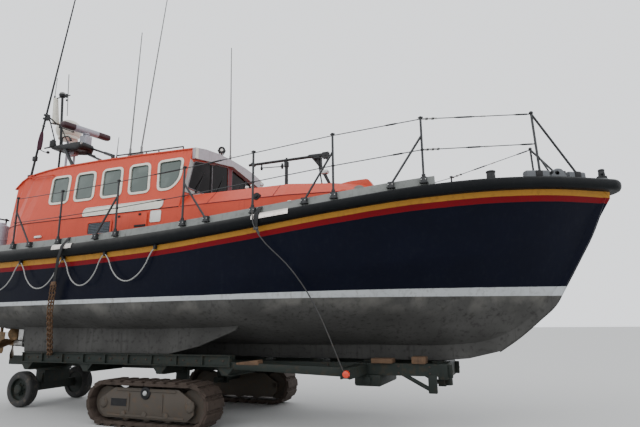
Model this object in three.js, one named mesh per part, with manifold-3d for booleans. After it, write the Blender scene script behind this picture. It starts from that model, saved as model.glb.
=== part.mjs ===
// An all-weather rescue boat on its launching carriage. Millimetres.
// +X points to the bow, +Y to port, +Z up. The ground is z = 0 and x = 0 is amidships.
import * as THREE from 'three';
import { mergeVertices } from 'three/addons/utils/BufferGeometryUtils.js';
import Module from 'manifold-3d';

const wasm = await Module();
wasm.setup();

// Driving dimensions
const HALF_LENGTH = 5800; // tip of the bow fender, and the towing eye at the stern
const TRANSOM_X = -5700;
const KEEL_BOTTOM = 950;
const KEEL_WIDTH = 150;
const DECK_THICK = 40;
const DECK_CAMBER = 70;
const FENDER_DEPTH = 200;
const FENDER_OUT = 75;
const NOSE_RADIUS = 250;
const TOE_RAIL_HEIGHT = 120;
const CABIN_AFT = -4830;
const CABIN_FRONT = -650;
const TAPER_X = -4050; // aft of this the sides of the superstructure turn in
const TAPER_XS = [-4640, -4350, TAPER_X]; // where the turn has a ring
const AFT_SEAM_HALF = 1275;
const AFT_ROOF_HALF = 1165;
const SEAM_Z = 3376; // joint between the lower and upper superstructure
const SEAM_HALF = 1490;
const ROOF_EDGE_Z = 4530;
const ROOF_EDGE_HALF = 1160;
const WALL = 55;
const GAP = 0.3; // between pieces that touch

// Materials: name, colour, roughness, metalness
const FINISHES = {
  navy: [0x14182e, 0.35, 0.1],
  orange: [0xd4573c, 0.45, 0.0],
  deckGrey: [0x6f7472, 0.85, 0.0],
  paleGrey: [0xb9c1bd, 0.6, 0.0],
  white: [0xe8e8e4, 0.5, 0.0],
  rubber: [0x191b20, 0.8, 0.0],
  steel: [0x5b5f66, 0.5, 0.7],
  bronze: [0xa07a3c, 0.4, 0.9],
  glass: [0x2a3335, 0.1, 0.0],
  carriage: [0x3d4a47, 0.7, 0.3],
  trackBrown: [0x6d6258, 0.8, 0.3],
  galvanised: [0x9aa0a2, 0.5, 0.8],
  darkRed: [0x5a2230, 0.6, 0.0],
  rope: [0xd9d8d0, 0.8, 0.0],
};
const materials = {};
for (const [name, [color, roughness, metalness]] of Object.entries(FINISHES)) {
  materials[name] = new THREE.MeshStandardMaterial({ color, roughness, metalness });
}

const boat = new THREE.Group();

// Joining and cutting
function bare(geometry) {
  const plain = geometry.index ? geometry.toNonIndexed() : geometry.clone();
  for (const name of Object.keys(plain.attributes)) {
    if (name !== 'position') plain.deleteAttribute(name);
  }
  return mergeVertices(plain, 1e-3);
}

function solid(geometry) {
  const merged = bare(geometry);
  return new wasm.Manifold(new wasm.Mesh({
    numProp: 3,
    vertProperties: new Float32Array(merged.attributes.position.array),
    triVerts: new Uint32Array(merged.index.array),
  }));
}

function fuse(...pieces) {
  return pieces.flat().reduce((whole, piece) => whole.add(piece));
}

function geometryOf(shape) {
  const mesh = shape.getMesh();
  const geometry = new THREE.BufferGeometry();
  const positions = [];
  for (let i = 0; i < mesh.vertProperties.length; i += mesh.numProp) {
    positions.push(mesh.vertProperties[i], mesh.vertProperties[i + 1], mesh.vertProperties[i + 2]);
  }
  geometry.setAttribute('position', new THREE.Float32BufferAttribute(positions, 3));
  geometry.setIndex([...mesh.triVerts]);
  return geometry;
}

// Turns every face of a closed surface over
function turnedOver(geometry) {
  const index = geometry.index;
  for (let i = 0; i < index.count; i += 3) {
    const second = index.getX(i + 1);
    index.setX(i + 1, index.getX(i + 2));
    index.setX(i + 2, second);
  }
  return geometry;
}

function mirrored(shape) {
  const geometry = geometryOf(shape);
  const position = geometry.attributes.position;
  for (let i = 0; i < position.count; i += 1) position.setY(i, -position.getY(i));
  return solid(turnedOver(geometry));
}

function signedVolume(geometry) {
  const corner = [0, 1, 2].map(() => new THREE.Vector3());
  let volume = 0;
  for (let i = 0; i < geometry.index.count; i += 3) {
    corner.forEach((c, k) => {
      c.fromBufferAttribute(geometry.attributes.position, geometry.index.getX(i + k));
    });
    volume += corner[0].dot(corner[1].cross(corner[2])) / 6;
  }
  return volume;
}

function add(name, shape, finish) {
  const geometry = geometryOf(shape).toNonIndexed();
  geometry.computeVertexNormals();
  const mesh = new THREE.Mesh(geometry, materials[finish]);
  mesh.name = name;
  boat.add(mesh);
}

// A piece on each side, cut on both by the same neighbour where it stands on one
function addPair(name, starboard, finish, cutter) {
  const port = mirrored(starboard);
  add(`${name}_starboard`, cutter ? starboard.subtract(cutter) : starboard, finish);
  add(`${name}_port`, cutter ? port.subtract(cutter) : port, finish);
}

// Basic shapes
function block(x0, x1, y0, y1, z0, z1) {
  const geometry = new THREE.BoxGeometry(x1 - x0, y1 - y0, z1 - z0);
  geometry.translate((x0 + x1) / 2, (y0 + y1) / 2, (z0 + z1) / 2);
  return solid(geometry);
}

// A flat outline pushed along one axis: 'x' takes [y, z], 'y' takes [x, z], 'z' takes [x, y]
function prism(outline, axis, from, to) {
  const shape = new THREE.Shape(outline.map(([u, v]) => new THREE.Vector2(u, v)));
  const geometry = new THREE.ExtrudeGeometry(shape, { depth: to - from, bevelEnabled: false });
  const basis = new THREE.Matrix4();
  if (axis === 'x') {
    basis.set(0, 0, 1, from, 1, 0, 0, 0, 0, 1, 0, 0, 0, 0, 0, 1);
  } else if (axis === 'y') {
    basis.set(1, 0, 0, 0, 0, 0, -1, to, 0, 1, 0, 0, 0, 0, 0, 1);
  } else {
    basis.set(1, 0, 0, 0, 0, 1, 0, 0, 0, 0, 1, from, 0, 0, 0, 1);
  }
  geometry.applyMatrix4(basis);
  return solid(geometry);
}

// A round bar between two points
function bar(from, to, radius, sides = 8, endRadius = radius) {
  const start = new THREE.Vector3(...from);
  const end = new THREE.Vector3(...to);
  const along = end.clone().sub(start);
  const geometry = new THREE.CylinderGeometry(endRadius, radius, along.length(), sides);
  const turn = new THREE.Quaternion();
  turn.setFromUnitVectors(new THREE.Vector3(0, 1, 0), along.clone().normalize());
  geometry.applyQuaternion(turn);
  geometry.translate(...start.add(end).multiplyScalar(0.5).toArray());
  return solid(geometry);
}

// A round rope, pipe or bar swept through several points
function swept(points, radius, sides, steps) {
  const corners = [];
  for (let i = 0; i < sides; i += 1) {
    const angle = (i * 2 * Math.PI) / sides;
    corners.push(new THREE.Vector2(radius * Math.cos(angle), radius * Math.sin(angle)));
  }
  return solid(new THREE.ExtrudeGeometry(new THREE.Shape(corners), {
    steps,
    bevelEnabled: false,
    extrudePath: new THREE.CatmullRomCurve3(points.map((point) => new THREE.Vector3(...point))),
  }));
}

// The triangles of a flat ring of points, in the ring's own order
function capOf(ring) {
  const normal = new THREE.Vector3();
  ring.forEach(([x, y, z], i) => {
    const [u, v, w] = ring[(i + 1) % ring.length];
    normal.add(new THREE.Vector3((y - v) * (z + w), (z - w) * (x + u), (x - u) * (y + v)));
  });
  const side = new THREE.Vector3(normal.y, -normal.x, 0);
  if (side.length() < 1e-3) side.set(1, 0, 0);
  side.normalize();
  const up = normal.normalize().clone().cross(side);
  const flat = ring.map((point) => {
    const p = new THREE.Vector3(...point);
    return new THREE.Vector2(p.dot(side), p.dot(up));
  });
  const turn = ([a, b, c]) => flat[b].clone().sub(flat[a]).cross(flat[c].clone().sub(flat[a]));
  const whole = THREE.ShapeUtils.area(flat);
  return THREE.ShapeUtils.triangulateShape(flat, []).map((face) => (
    turn(face) * whole < 0 ? [face[0], face[2], face[1]] : face));
}

// A skin over closed rings of equal count, with flat ends
function skin(rings) {
  const count = rings[0].length;
  const positions = rings.flat(2);
  const index = [];
  for (let r = 0; r < rings.length - 1; r += 1) {
    for (let i = 0; i < count; i += 1) {
      const j = (i + 1) % count;
      const a = r * count + i;
      const b = r * count + j;
      index.push(a, b, a + count, b, b + count, a + count);
    }
  }
  for (const [a, b, c] of capOf(rings[0])) index.push(a, c, b);
  const last = (rings.length - 1) * count;
  for (const [a, b, c] of capOf(rings.at(-1))) index.push(last + a, last + b, last + c);
  const geometry = new THREE.BufferGeometry();
  geometry.setAttribute('position', new THREE.Float32BufferAttribute(positions, 3));
  geometry.setIndex(index);
  return solid(signedVolume(geometry) < 0 ? turnedOver(geometry) : geometry);
}

// Hull lines. Each row is one cross-section of the hull without its keel.
// x, centre z, chine y, chine z, bilge y, bilge z, knuckle y, knuckle z, deck y, deck z
const STATIONS = [
  [-5700, 1420, 1150, 1540, 1540, 1760, 1600, 2050, 1700, 2830],
  [-4200, 1290, 1210, 1500, 1640, 1740, 1690, 2060, 1805, 2828],
  [-2200, 1200, 1260, 1470, 1710, 1720, 1750, 2080, 1850, 2850],
  [-300, 1160, 1250, 1470, 1700, 1730, 1755, 2100, 1855, 2935],
  [1000, 1150, 1110, 1490, 1560, 1760, 1680, 2160, 1840, 3030],
  [2200, 1150, 830, 1530, 1230, 1790, 1480, 2240, 1765, 3140],
  [3200, 1130, 540, 1550, 810, 1800, 1190, 2330, 1560, 3262],
  [4000, 1210, 290, 1590, 450, 1830, 850, 2430, 1270, 3345],
  [4600, 1590, 110, 1760, 190, 1900, 530, 2540, 950, 3392],
  [5000, 2090, 45, 2160, 90, 2260, 270, 2660, 680, 3415],
  [5350, 2720, 20, 2760, 45, 2820, 110, 2980, 405, 3428],
  [5640, 3200, 10, 3210, 20, 3225, 40, 3260, 130, 3435],
];

// A smooth reading of one column of the station table at any x
function reading(x, column) {
  const last = STATIONS.length - 1;
  let i = 0;
  while (i < last - 1 && x > STATIONS[i + 1][0]) i += 1;
  const slope = (k) => {
    const before = STATIONS[Math.max(k - 1, 0)];
    const after = STATIONS[Math.min(k + 1, last)];
    return (after[column] - before[column]) / (after[0] - before[0]);
  };
  const [x0, x1] = [STATIONS[i][0], STATIONS[i + 1][0]];
  const [v0, v1] = [STATIONS[i][column], STATIONS[i + 1][column]];
  const span = x1 - x0;
  const t = (x - x0) / span;
  const [m0, m1] = [slope(i) * span, slope(i + 1) * span];
  return v0 * (2 * t ** 3 - 3 * t ** 2 + 1) + m0 * (t ** 3 - 2 * t ** 2 + t)
    + v1 * (3 * t ** 2 - 2 * t ** 3) + m1 * (t ** 3 - t ** 2);
}

const CENTRE_Z = 1;
const CHINE_Y = 2;
const CHINE_Z = 3;
const BILGE_Y = 4;
const BILGE_Z = 5;
const KNUCKLE_Y = 6;
const KNUCKLE_Z = 7;
const DECK_Y = 8;
const DECK_Z = 9;
const deckHalf = (x) => reading(x, DECK_Y);
const deckEdge = (x) => reading(x, DECK_Z);
const SECTION_STEPS = 20;
const sectionXs = [];
for (let i = 0; i <= SECTION_STEPS; i += 1) {
  const end = STATIONS.at(-1)[0];
  sectionXs.push(TRANSOM_X + (end - TRANSOM_X) * (1 - (1 - i / SECTION_STEPS) ** 1.15));
}

function mirrorRing(half) {
  const other = half.slice().reverse().filter(([, y]) => y !== 0).map(([x, y, z]) => [x, -y, z]);
  return [...half, ...other];
}

// One ring of the hull, grown outward and upward where it serves as a cutter
function hullRing(x, grow = 0, rise = 0) {
  const at = (column) => reading(x, column);
  const top = at(DECK_Z) - DECK_THICK + rise;
  const middle = (column, other, share) => at(column) * (1 - share) + at(other) * share;
  const bulge = 0.02 * at(BILGE_Y);
  const side = [
    [x, at(CHINE_Y) * 0.5, middle(CENTRE_Z, CHINE_Z, 0.42)],
    [x, at(CHINE_Y), at(CHINE_Z)],
    [x, middle(CHINE_Y, BILGE_Y, 0.55) + bulge, middle(CHINE_Z, BILGE_Z, 0.45)],
    [x, at(BILGE_Y), at(BILGE_Z)],
    [x, at(KNUCKLE_Y), at(KNUCKLE_Z)],
    [x, middle(KNUCKLE_Y, DECK_Y, 0.45), middle(KNUCKLE_Z, DECK_Z, 0.5)],
    [x, at(DECK_Y), at(DECK_Z) - DECK_THICK],
    ...(rise > 0 ? [[x, at(DECK_Y), top]] : []),
  ].map(([px, py, pz]) => [px, py + grow, pz]);
  return mirrorRing([
    [x, 0, at(CENTRE_Z)],
    ...side,
    [x, at(DECK_Y) * 0.5, top + DECK_CAMBER * 0.75],
    [x, 0, top + DECK_CAMBER],
  ]);
}

// Keel and stem, as one outline seen from the side: x, z
const KEEL_OUTLINE = [
  [-5200, KEEL_BOTTOM + 40], [3131, KEEL_BOTTOM], [3568, 990], [3996, 1095], [4284, 1293],
  [4572, 1535], [4796, 1739], [4907, 1916], [5196, 2409], [5354, 2688], [5540, 3100],
  [5590, 3210], [5400, 3210], [4700, 2500], [4300, 2000], [3500, 1500], [-4900, 1500],
];

// A slice of the deck's thickness, which spread makes wider than the boat to serve as a cutter
function deckRing(x, low, high, spread = 0) {
  const inside = Math.min(Math.max(x, TRANSOM_X), STATIONS.at(-1)[0]);
  const half = deckHalf(inside);
  const line = (up) => {
    const port = [0, 0.5, 1].map((share) => (
      [x, half * share, deckEdge(inside) + up + DECK_CAMBER * (1 - share ** 2)]));
    if (spread > 0) port.push([x, half + spread, deckEdge(inside) + up]);
    const starboard = port.slice(1).reverse().map(([px, py, pz]) => [px, -py, pz]);
    return [...starboard, ...port];
  };
  return [...line(high), ...line(low).reverse()];
}

const deckBand = (low, high) => skin(sectionXs.map((x) => deckRing(x, low, high)));

// All that lies below the deck's surface, which cuts what stands on the deck
const underDeckTop = skin([-6200, ...sectionXs, 6200].map((x) => deckRing(x, -1500, GAP, 500)));

// Twin propeller tunnels, one each side of the keel
const TUNNEL_Y = 720;
const TUNNEL_RADIUS = 370;
const SHAFT_Z = 1190;
const PROPELLER_X = -5080;
const PROPELLER_RADIUS = 300;
function tunnel(side) {
  const y = side * TUNNEL_Y;
  return bar([-6000, y, SHAFT_Z + 60], [-3300, y, SHAFT_Z - 160], TUNNEL_RADIUS, 20, 250);
}

// Foredeck hatch: its well goes down through the deck into the hull
const HATCH = { x: 3080, half: 300, well: 260, bottom: 2900, top: 3420 };
const hatchWell = block(HATCH.x - HATCH.well, HATCH.x + HATCH.well, -HATCH.well, HATCH.well,
  HATCH.bottom, 4000);

// The twin engines stand as one block in a well that the deck closes
const ENGINE = { aft: -2900, front: -1300, half: 1080, bottom: 1620, top: 2500 };
function engineBlock(spare) {
  const top = spare > 0 ? 4000 : ENGINE.top;
  return block(ENGINE.aft - spare, ENGINE.front + spare, -ENGINE.half - spare,
    ENGINE.half + spare, ENGINE.bottom - spare, top);
}

// Bilge keels: long plates that guard the tunnels and stand on the carriage's side rails
const SIDE_RAIL = { y0: -1240, y1: -1130, z0: 890, z1: 1060 };
const bilgeKeel = prism([
  [-4200, 1640], [-4120, SIDE_RAIL.z1 + GAP], [-900, SIDE_RAIL.z1 + GAP], [-350, 1180],
  [300, 1420], [420, 1600],
], 'y', -1222, -1162);

// Stern gear on the starboard side: shaft, bracket and rudder stock, grown where they cut the hull
const RUDDER_X = -5440;
const RUDDER_STOCK = 28;
function shaftLine(grow) {
  const y = -TUNNEL_Y;
  return fuse(
    bar([PROPELLER_X + 90, y, SHAFT_Z], [-4760, y, SHAFT_Z], 62 + grow, 12),
    bar([-4780, y, SHAFT_Z], [-3150, y, SHAFT_Z + 40], 30 + grow, 12),
    block(-4930 - grow, -4800 + grow, y - 14 - grow, y + 14 + grow, SHAFT_Z, 1700 + grow),
  );
}

function rudderStock(grow) {
  return bar([RUDDER_X, -TUNNEL_Y, 1390], [RUDDER_X, -TUNNEL_Y, 1680 + grow],
    RUDDER_STOCK + grow, 12);
}

const keel = prism(KEEL_OUTLINE, 'y', -KEEL_WIDTH / 2, KEEL_WIDTH / 2);
const sternCuts = fuse(shaftLine(GAP), rudderStock(3));
const hull = fuse(skin(sectionXs.map((x) => hullRing(x))), keel, bilgeKeel, mirrored(bilgeKeel))
  .subtract(tunnel(1)).subtract(tunnel(-1))
  .subtract(sternCuts).subtract(mirrored(sternCuts))
  .subtract(engineBlock(GAP)).subtract(hatchWell);
add('hull', hull, 'navy');
add('engine_block', engineBlock(0), 'steel');

// Deck with the coaming of the foredeck hatch
const hatchCoaming = block(HATCH.x - HATCH.half, HATCH.x + HATCH.half, -HATCH.half, HATCH.half,
  3200, HATCH.top).subtract(deckBand(-800, -5));
add('deck', deckBand(-DECK_THICK + GAP, 0).add(hatchCoaming).subtract(hatchWell), 'deckGrey');

// A place on the starboard deck edge, with its outward side
function edgeAt(x) {
  const step = 20;
  const slope = (deckHalf(Math.min(x + step, 5600)) - deckHalf(x)) / step;
  const scale = Math.hypot(1, slope);
  return { x, y: -deckHalf(x), z: deckEdge(x), nx: -slope / scale, ny: -1 / scale };
}

// Plan of the deck edge from the starboard quarter round the bow to port
const BEND_X = 5460;
const edgePath = sectionXs.filter((x) => x < BEND_X).map(edgeAt);
const noseCentre = HALF_LENGTH - FENDER_OUT - NOSE_RADIUS;
const noseStart = edgePath.at(-1);
const startAngle = Math.atan2(noseStart.ny, noseStart.nx);
for (let i = 1; i <= 6; i += 1) {
  const angle = startAngle * (1 - i / 6);
  edgePath.push({
    x: noseCentre + NOSE_RADIUS * Math.cos(angle),
    y: NOSE_RADIUS * Math.sin(angle),
    z: 3435,
    nx: Math.cos(angle),
    ny: Math.sin(angle),
  });
}
for (const place of edgePath.slice(0, -1).reverse()) {
  edgePath.push({ ...place, y: -place.y, ny: -place.ny });
}

// A belt along the deck edge: section points are [out, up]
function belt(section, outline = edgePath) {
  return skin(outline.map((place) => section.map(([out, up]) => (
    [place.x + place.nx * out, place.y + place.ny * out, place.z + up]))));
}

const HULL_FRONT = sectionXs.at(-1);
const grownHull = skin([...sectionXs, HULL_FRONT + 2 * GAP].map((x) => (
  hullRing(Math.min(x, HULL_FRONT), 2 * GAP, 300).map(([, y, z]) => [x, y, z]))));
const fenderSection = (rise) => [
  [-100, rise], [FENDER_OUT * 0.8, rise - 12], [FENDER_OUT, -50], [FENDER_OUT, -130],
  [FENDER_OUT * 0.75, -175], [10, -FENDER_DEPTH], [-100, -FENDER_DEPTH],
];
add('fender_belt', belt(fenderSection(0)).subtract(grownHull), 'rubber');
const grownFender = belt(fenderSection(GAP));

// Toe rail on each side, from the quarter to where the foredeck narrows
const TOE_RAIL_FRONT = 3440;
const toeRailPath = [...sectionXs.filter((x) => x < TOE_RAIL_FRONT - 100), TOE_RAIL_FRONT].map(edgeAt);
const toeRailSection = (grow) => [
  [-115 - grow, -30], [-115 - grow, TOE_RAIL_HEIGHT * 0.5 + grow], [-85, TOE_RAIL_HEIGHT + grow],
  [-40, TOE_RAIL_HEIGHT + grow], [-15 + grow, -30],
];
addPair('toe_rail', belt(toeRailSection(0), toeRailPath), 'paleGrey', underDeckTop);

// Superstructure
function sideHalf(x, z) {
  const up = (z - SEAM_Z) / (ROOF_EDGE_Z - SEAM_Z);
  const full = SEAM_HALF + (ROOF_EDGE_HALF - SEAM_HALF) * up;
  const aft = AFT_SEAM_HALF + (AFT_ROOF_HALF - AFT_SEAM_HALF) * up;
  const share = Math.min(Math.max((TAPER_X - x) / (TAPER_X - CABIN_AFT), 0), 1) ** 2;
  return full + (aft - full) * share;
}

// Roof sections: x, edge z, crown z
const ROOF = [
  [-4870, 4200, 4310], [-4700, 4345, 4455], [-4530, 4430, 4542], [-4300, 4472, 4586],
  [-4030, 4505, 4620], [-3700, 4530, 4645], [-2800, 4535, 4650], [-1750, 4510, 4628],
  [-860, 4478, 4590], [-600, 4466, 4578],
];
const ROOF_THICK = 24;
const ROOF_OVERHANG = 24;
function roofBand(low, high) {
  const shares = [1, 0.75, 0.4, 0];
  return skin(ROOF.map(([x, edge, crown]) => {
    const half = sideHalf(x, edge) + ROOF_OVERHANG;
    const height = (s) => edge + (crown - edge) * (1 - s ** 2.4);
    const top = shares.map((s) => [x, -half * s, height(s) + high]);
    const bottom = shares.map((s) => [x, -half * s, height(s) + low]);
    const flip = ([px, py, pz]) => [px, -py, pz];
    const across = [...top, ...top.slice(0, -1).reverse().map(flip)];
    const under = [...bottom, ...bottom.slice(0, -1).reverse().map(flip)].reverse();
    return [...across, ...under];
  }));
}
const aboveRoofSoffit = roofBand(-ROOF_THICK - GAP, 900);

const aheadOfCabin = block(CABIN_FRONT, 0, -2000, 2000, 4000, 5000);
const BROW_FRONT = -4745; // the roof's aft end is a brow of its own over the bulkhead and its door
const wholeRoof = roofBand(-ROOF_THICK, 0).subtract(aheadOfCabin);
const fromBrowForward = block(BROW_FRONT - GAP / 2, 0, -2000, 2000, 4000, 5000);
const brow = block(-5000, BROW_FRONT + GAP / 2, -2000, 2000, 4000, 5000);
add('cabin_roof', wholeRoof.subtract(brow), 'orange');
add('roof_brow_aft', wholeRoof.subtract(fromBrowForward), 'orange');

// Lower superstructure: walls from the deck up to the seam, open at the cabin front
const LOWER_FLARE = 30; // how much wider the walls are at the deck than at the seam
const LOWER_FOOT = 2700;
const DOOR = { y0: -330, y1: 330, sill: 3010, head: 4190 };
function lowerShell(xs, inset, top) {
  return skin(xs.map((x) => {
    const half = sideHalf(x, SEAM_Z) - inset;
    const over = (LOWER_FLARE * (top - SEAM_Z)) / (SEAM_Z - LOWER_FOOT);
    return [[x, -half - LOWER_FLARE, LOWER_FOOT], [x, over - half, top], [x, half - over, top],
      [x, half + LOWER_FLARE, LOWER_FOOT]];
  }));
}
const lowerOutside = lowerShell([CABIN_AFT, ...TAPER_XS, CABIN_FRONT], 0, SEAM_Z);
const lowerInside = lowerShell([CABIN_AFT + WALL, ...TAPER_XS, CABIN_FRONT + 100], WALL, 3500);
const doorway = block(CABIN_AFT - 200, CABIN_AFT + 200, DOOR.y0, DOOR.y1, DOOR.sill, DOOR.head);
const lowerCabin = lowerOutside.subtract(lowerInside).subtract(underDeckTop).subtract(doorway);
add('cabin_lower', lowerCabin, 'orange');

// Upper sides, each with five windows leaning back: aft x, front x at half their height
const WINDOWS = [[-3760, -3270], [-3145, -2655], [-2510, -2020], [-1882, -1408], [-1258, -755]];
const WINDOW_SILL = 3700;
const WINDOW_HEAD = 4315;
const WINDOW_LEAN = 75;
const WINDOW_CORNER = 115;
function roundedOutline(corners, radius) {
  const outline = [];
  corners.forEach((corner, i) => {
    const before = corners[(i + corners.length - 1) % corners.length];
    const after = corners[(i + 1) % corners.length];
    const toward = (other) => {
      const length = Math.hypot(other[0] - corner[0], other[1] - corner[1]);
      return [(other[0] - corner[0]) / length, (other[1] - corner[1]) / length];
    };
    const [a, b] = [toward(before), toward(after)];
    for (const t of [0, 0.5, 1]) {
      const [p, q] = [(1 - t) ** 2 * radius, t ** 2 * radius];
      outline.push([corner[0] + a[0] * p + b[0] * q, corner[1] + a[1] * p + b[1] * q]);
    }
  });
  return outline;
}

function windowOutline([aft, front], i) {
  const corners = [
    [aft + WINDOW_LEAN, WINDOW_SILL], [front + WINDOW_LEAN, WINDOW_SILL],
    [front - WINDOW_LEAN, WINDOW_HEAD], [aft - WINDOW_LEAN, WINDOW_HEAD],
  ];
  if (i === WINDOWS.length - 1) {
    corners[2] = [front - 20, WINDOW_HEAD];
    corners.splice(1, 1, [front - 130, WINDOW_SILL], [front + 20, WINDOW_SILL + 190]);
  }
  return roundedOutline(corners, WINDOW_CORNER);
}

function leaningPlate(outer, inner, x0, x1, z0, z1) {
  const between = TAPER_XS.filter((x) => x > x0 && x < x1);
  return skin([x0, ...between, x1].map((x) => [
    [x, -sideHalf(x, z0) + outer, z0], [x, -sideHalf(x, z0) + inner, z0],
    [x, -sideHalf(x, z1) + inner, z1], [x, -sideHalf(x, z1) + outer, z1],
  ]));
}

const windowCuts = WINDOWS.map((row, i) => prism(windowOutline(row, i), 'y', -1700, -900));
const SIDE_TOP = 4600;
const sidePlate = (outer, inner) => leaningPlate(outer, inner, CABIN_AFT + 20, CABIN_FRONT,
  SEAM_Z + GAP, SIDE_TOP);
const upperSide = windowCuts.reduce((wall, cut) => wall.subtract(cut), sidePlate(0, WALL));
addPair('cabin_side', upperSide, 'orange', aboveRoofSoffit);
addPair('side_glass', leaningPlate(WALL + GAP, WALL + 10, -3900, -720, 3640, 4375), 'glass');

// Front bulkhead with four windscreen panes, seen from ahead: y, z
const besideCabin = sidePlate(-400, WALL + GAP);
function bulkhead(x0, x1) {
  return block(x0, x1, -SEAM_HALF, SEAM_HALF, SEAM_Z + 1, SIDE_TOP)
    .subtract(besideCabin).subtract(mirrored(besideCabin)).subtract(aboveRoofSoffit);
}
const PANES = [
  [[70, 3745], [560, 3747], [560, 4350], [70, 4430]],
  [[620, 3748], [1275, 3750], [1130, 4235], [620, 4340]],
];
const paneCuts = PANES.flatMap((pane) => {
  const outline = roundedOutline(pane, 50);
  const other = outline.map(([y, z]) => [-y, z]).reverse();
  return [outline, other].map((shape) => prism(shape, 'x', CABIN_FRONT - 300, CABIN_FRONT + 300));
});
const frontBulkhead = paneCuts.reduce((wall, cut) => wall.subtract(cut),
  bulkhead(CABIN_FRONT - WALL, CABIN_FRONT));
add('cabin_front', frontBulkhead, 'orange');
const frontGlass = prism([[-1310, 3710], [1310, 3710], [1150, 4270], [0, 4470], [-1150, 4270]], 'x',
  CABIN_FRONT - WALL - 10, CABIN_FRONT - WALL - GAP);
add('windscreen_glass', frontGlass, 'glass');

// Hood above the windscreen
const VISOR_TOP = [[1190, 4470], [880, 4534], [470, 4579], [0, 4591]];
const visor = prism([
  [-1190, 4275], [0, 4465], [1190, 4275],
  ...VISOR_TOP, ...VISOR_TOP.slice(0, -1).reverse().map(([y, z]) => [-y, z]),
], 'x', CABIN_FRONT + GAP, CABIN_FRONT + 60);
add('windscreen_visor', visor, 'paleGrey');

// Aft bulkhead and its door, hinged on the port side
const aftBulkhead = bulkhead(CABIN_AFT + 30, CABIN_AFT + 30 + WALL).subtract(doorway);
add('cabin_aft', aftBulkhead, 'orange');
const DOOR_GAP = 8;
const DOOR_THICK = 40;
const doorX = CABIN_AFT - 10;
const door = fuse(
  block(doorX - DOOR_THICK, doorX, DOOR.y0 - 40, DOOR.y1 + 40, DOOR.sill + 12, DOOR.head + 15),
  block(doorX - DOOR_THICK - 45, doorX - DOOR_THICK + 1, DOOR.y0, DOOR.y0 + 60, 3560, 3590),
);
add('aft_door', door, 'orange');

// Forward trunk: x, half width at the seam, half width at the top, top z
const TRUNK = [
  [CABIN_FRONT + GAP, 1490, 1215, 3625], [1200, 1460, 1190, 3620], [1850, 1360, 1120, 3575],
  [2320, 1230, 1010, 3530], [2480, 1180, 960, 3510], [2640, 1120, 900, 3230],
];
function trunkShape(inset) {
  return skin(TRUNK.map(([x, seamHalf, topHalf, topZ]) => {
    const seamZ = Math.min(SEAM_Z, topZ - 40);
    const shift = x > 0 ? -inset : -60 * Math.sign(inset);
    const half = [
      [x + shift, -seamHalf - 30 + inset, 2600], [x + shift, -seamHalf + inset, seamZ - inset * 0.3],
      [x + shift, -topHalf + inset * 0.6, topZ - inset],
      [x + shift, -topHalf * 0.5, topZ + 45 - inset],
    ];
    const other = half.slice().reverse().map(([px, py, pz]) => [px, -py, pz]);
    return [...half, ...other];
  }));
}
const TRUNK_WALL = 50;
const trunk = trunkShape(0).subtract(trunkShape(TRUNK_WALL)).subtract(underDeckTop);
add('forward_trunk', trunk, 'orange');

// Foredeck hatch lid
const lid = fuse(
  block(HATCH.x - 320, HATCH.x + 320, -320, 320, HATCH.top + 6, HATCH.top + 50),
);
add('hatch_lid', lid, 'orange');

// Guard rails: x of each post, lean of its brace (0 for none). The posts stand in sockets on the
// outer face of the toe rail, and the last leg and the bow frame on a plate with a fairlead.
const POSTS = [[-3930, 1], [-2818, 0], [-1570, -1], [-280, 1], [915, 0], [2120, -1], [3300, -1]];
const POST_OUT = 5;
const POST_FOOT = 70;
const POST_TOP = 940;
const POST_RADIUS = 17;
const WIRE_HEIGHTS = [488, 925];
const WIRE_RADIUS = 7;
const BRACE_REACH = 420;
const BRACE_HEIGHT = 690;
const SOCKET = { half: 38, inner: -60, outer: 27, low: 30, high: 112 };
const BOW_LEG = { foot: 4735, head: 4700, out: -70 };
const BOW_STAY = { foot: 5235, short: 4900, shortHeight: 330 };
const PADS = [[4600, 4860], [5130, 5330]];
const PAD_HEIGHT = 75;
const FAIRLEAD = { aft: 4910, front: 5080, height: 95 };

function railPoint(x, height, out = POST_OUT) {
  const place = edgeAt(x);
  return [x, place.y - out * Math.hypot(1, place.nx / place.ny), place.z + height];
}

function socket(x) {
  const [, y, z] = railPoint(x, 0, 0);
  return block(x - SOCKET.half, x + SOCKET.half, y - SOCKET.outer, y - SOCKET.inner,
    z + SOCKET.low, z + SOCKET.high);
}

// A raised pad along the deck edge between two places
function edgePad(aft, front, height) {
  const path = [aft, (aft + front) / 2, front].map(edgeAt);
  return belt([[-130, -20], [-130, height], [-25, height], [-25, -20]], path);
}

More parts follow.
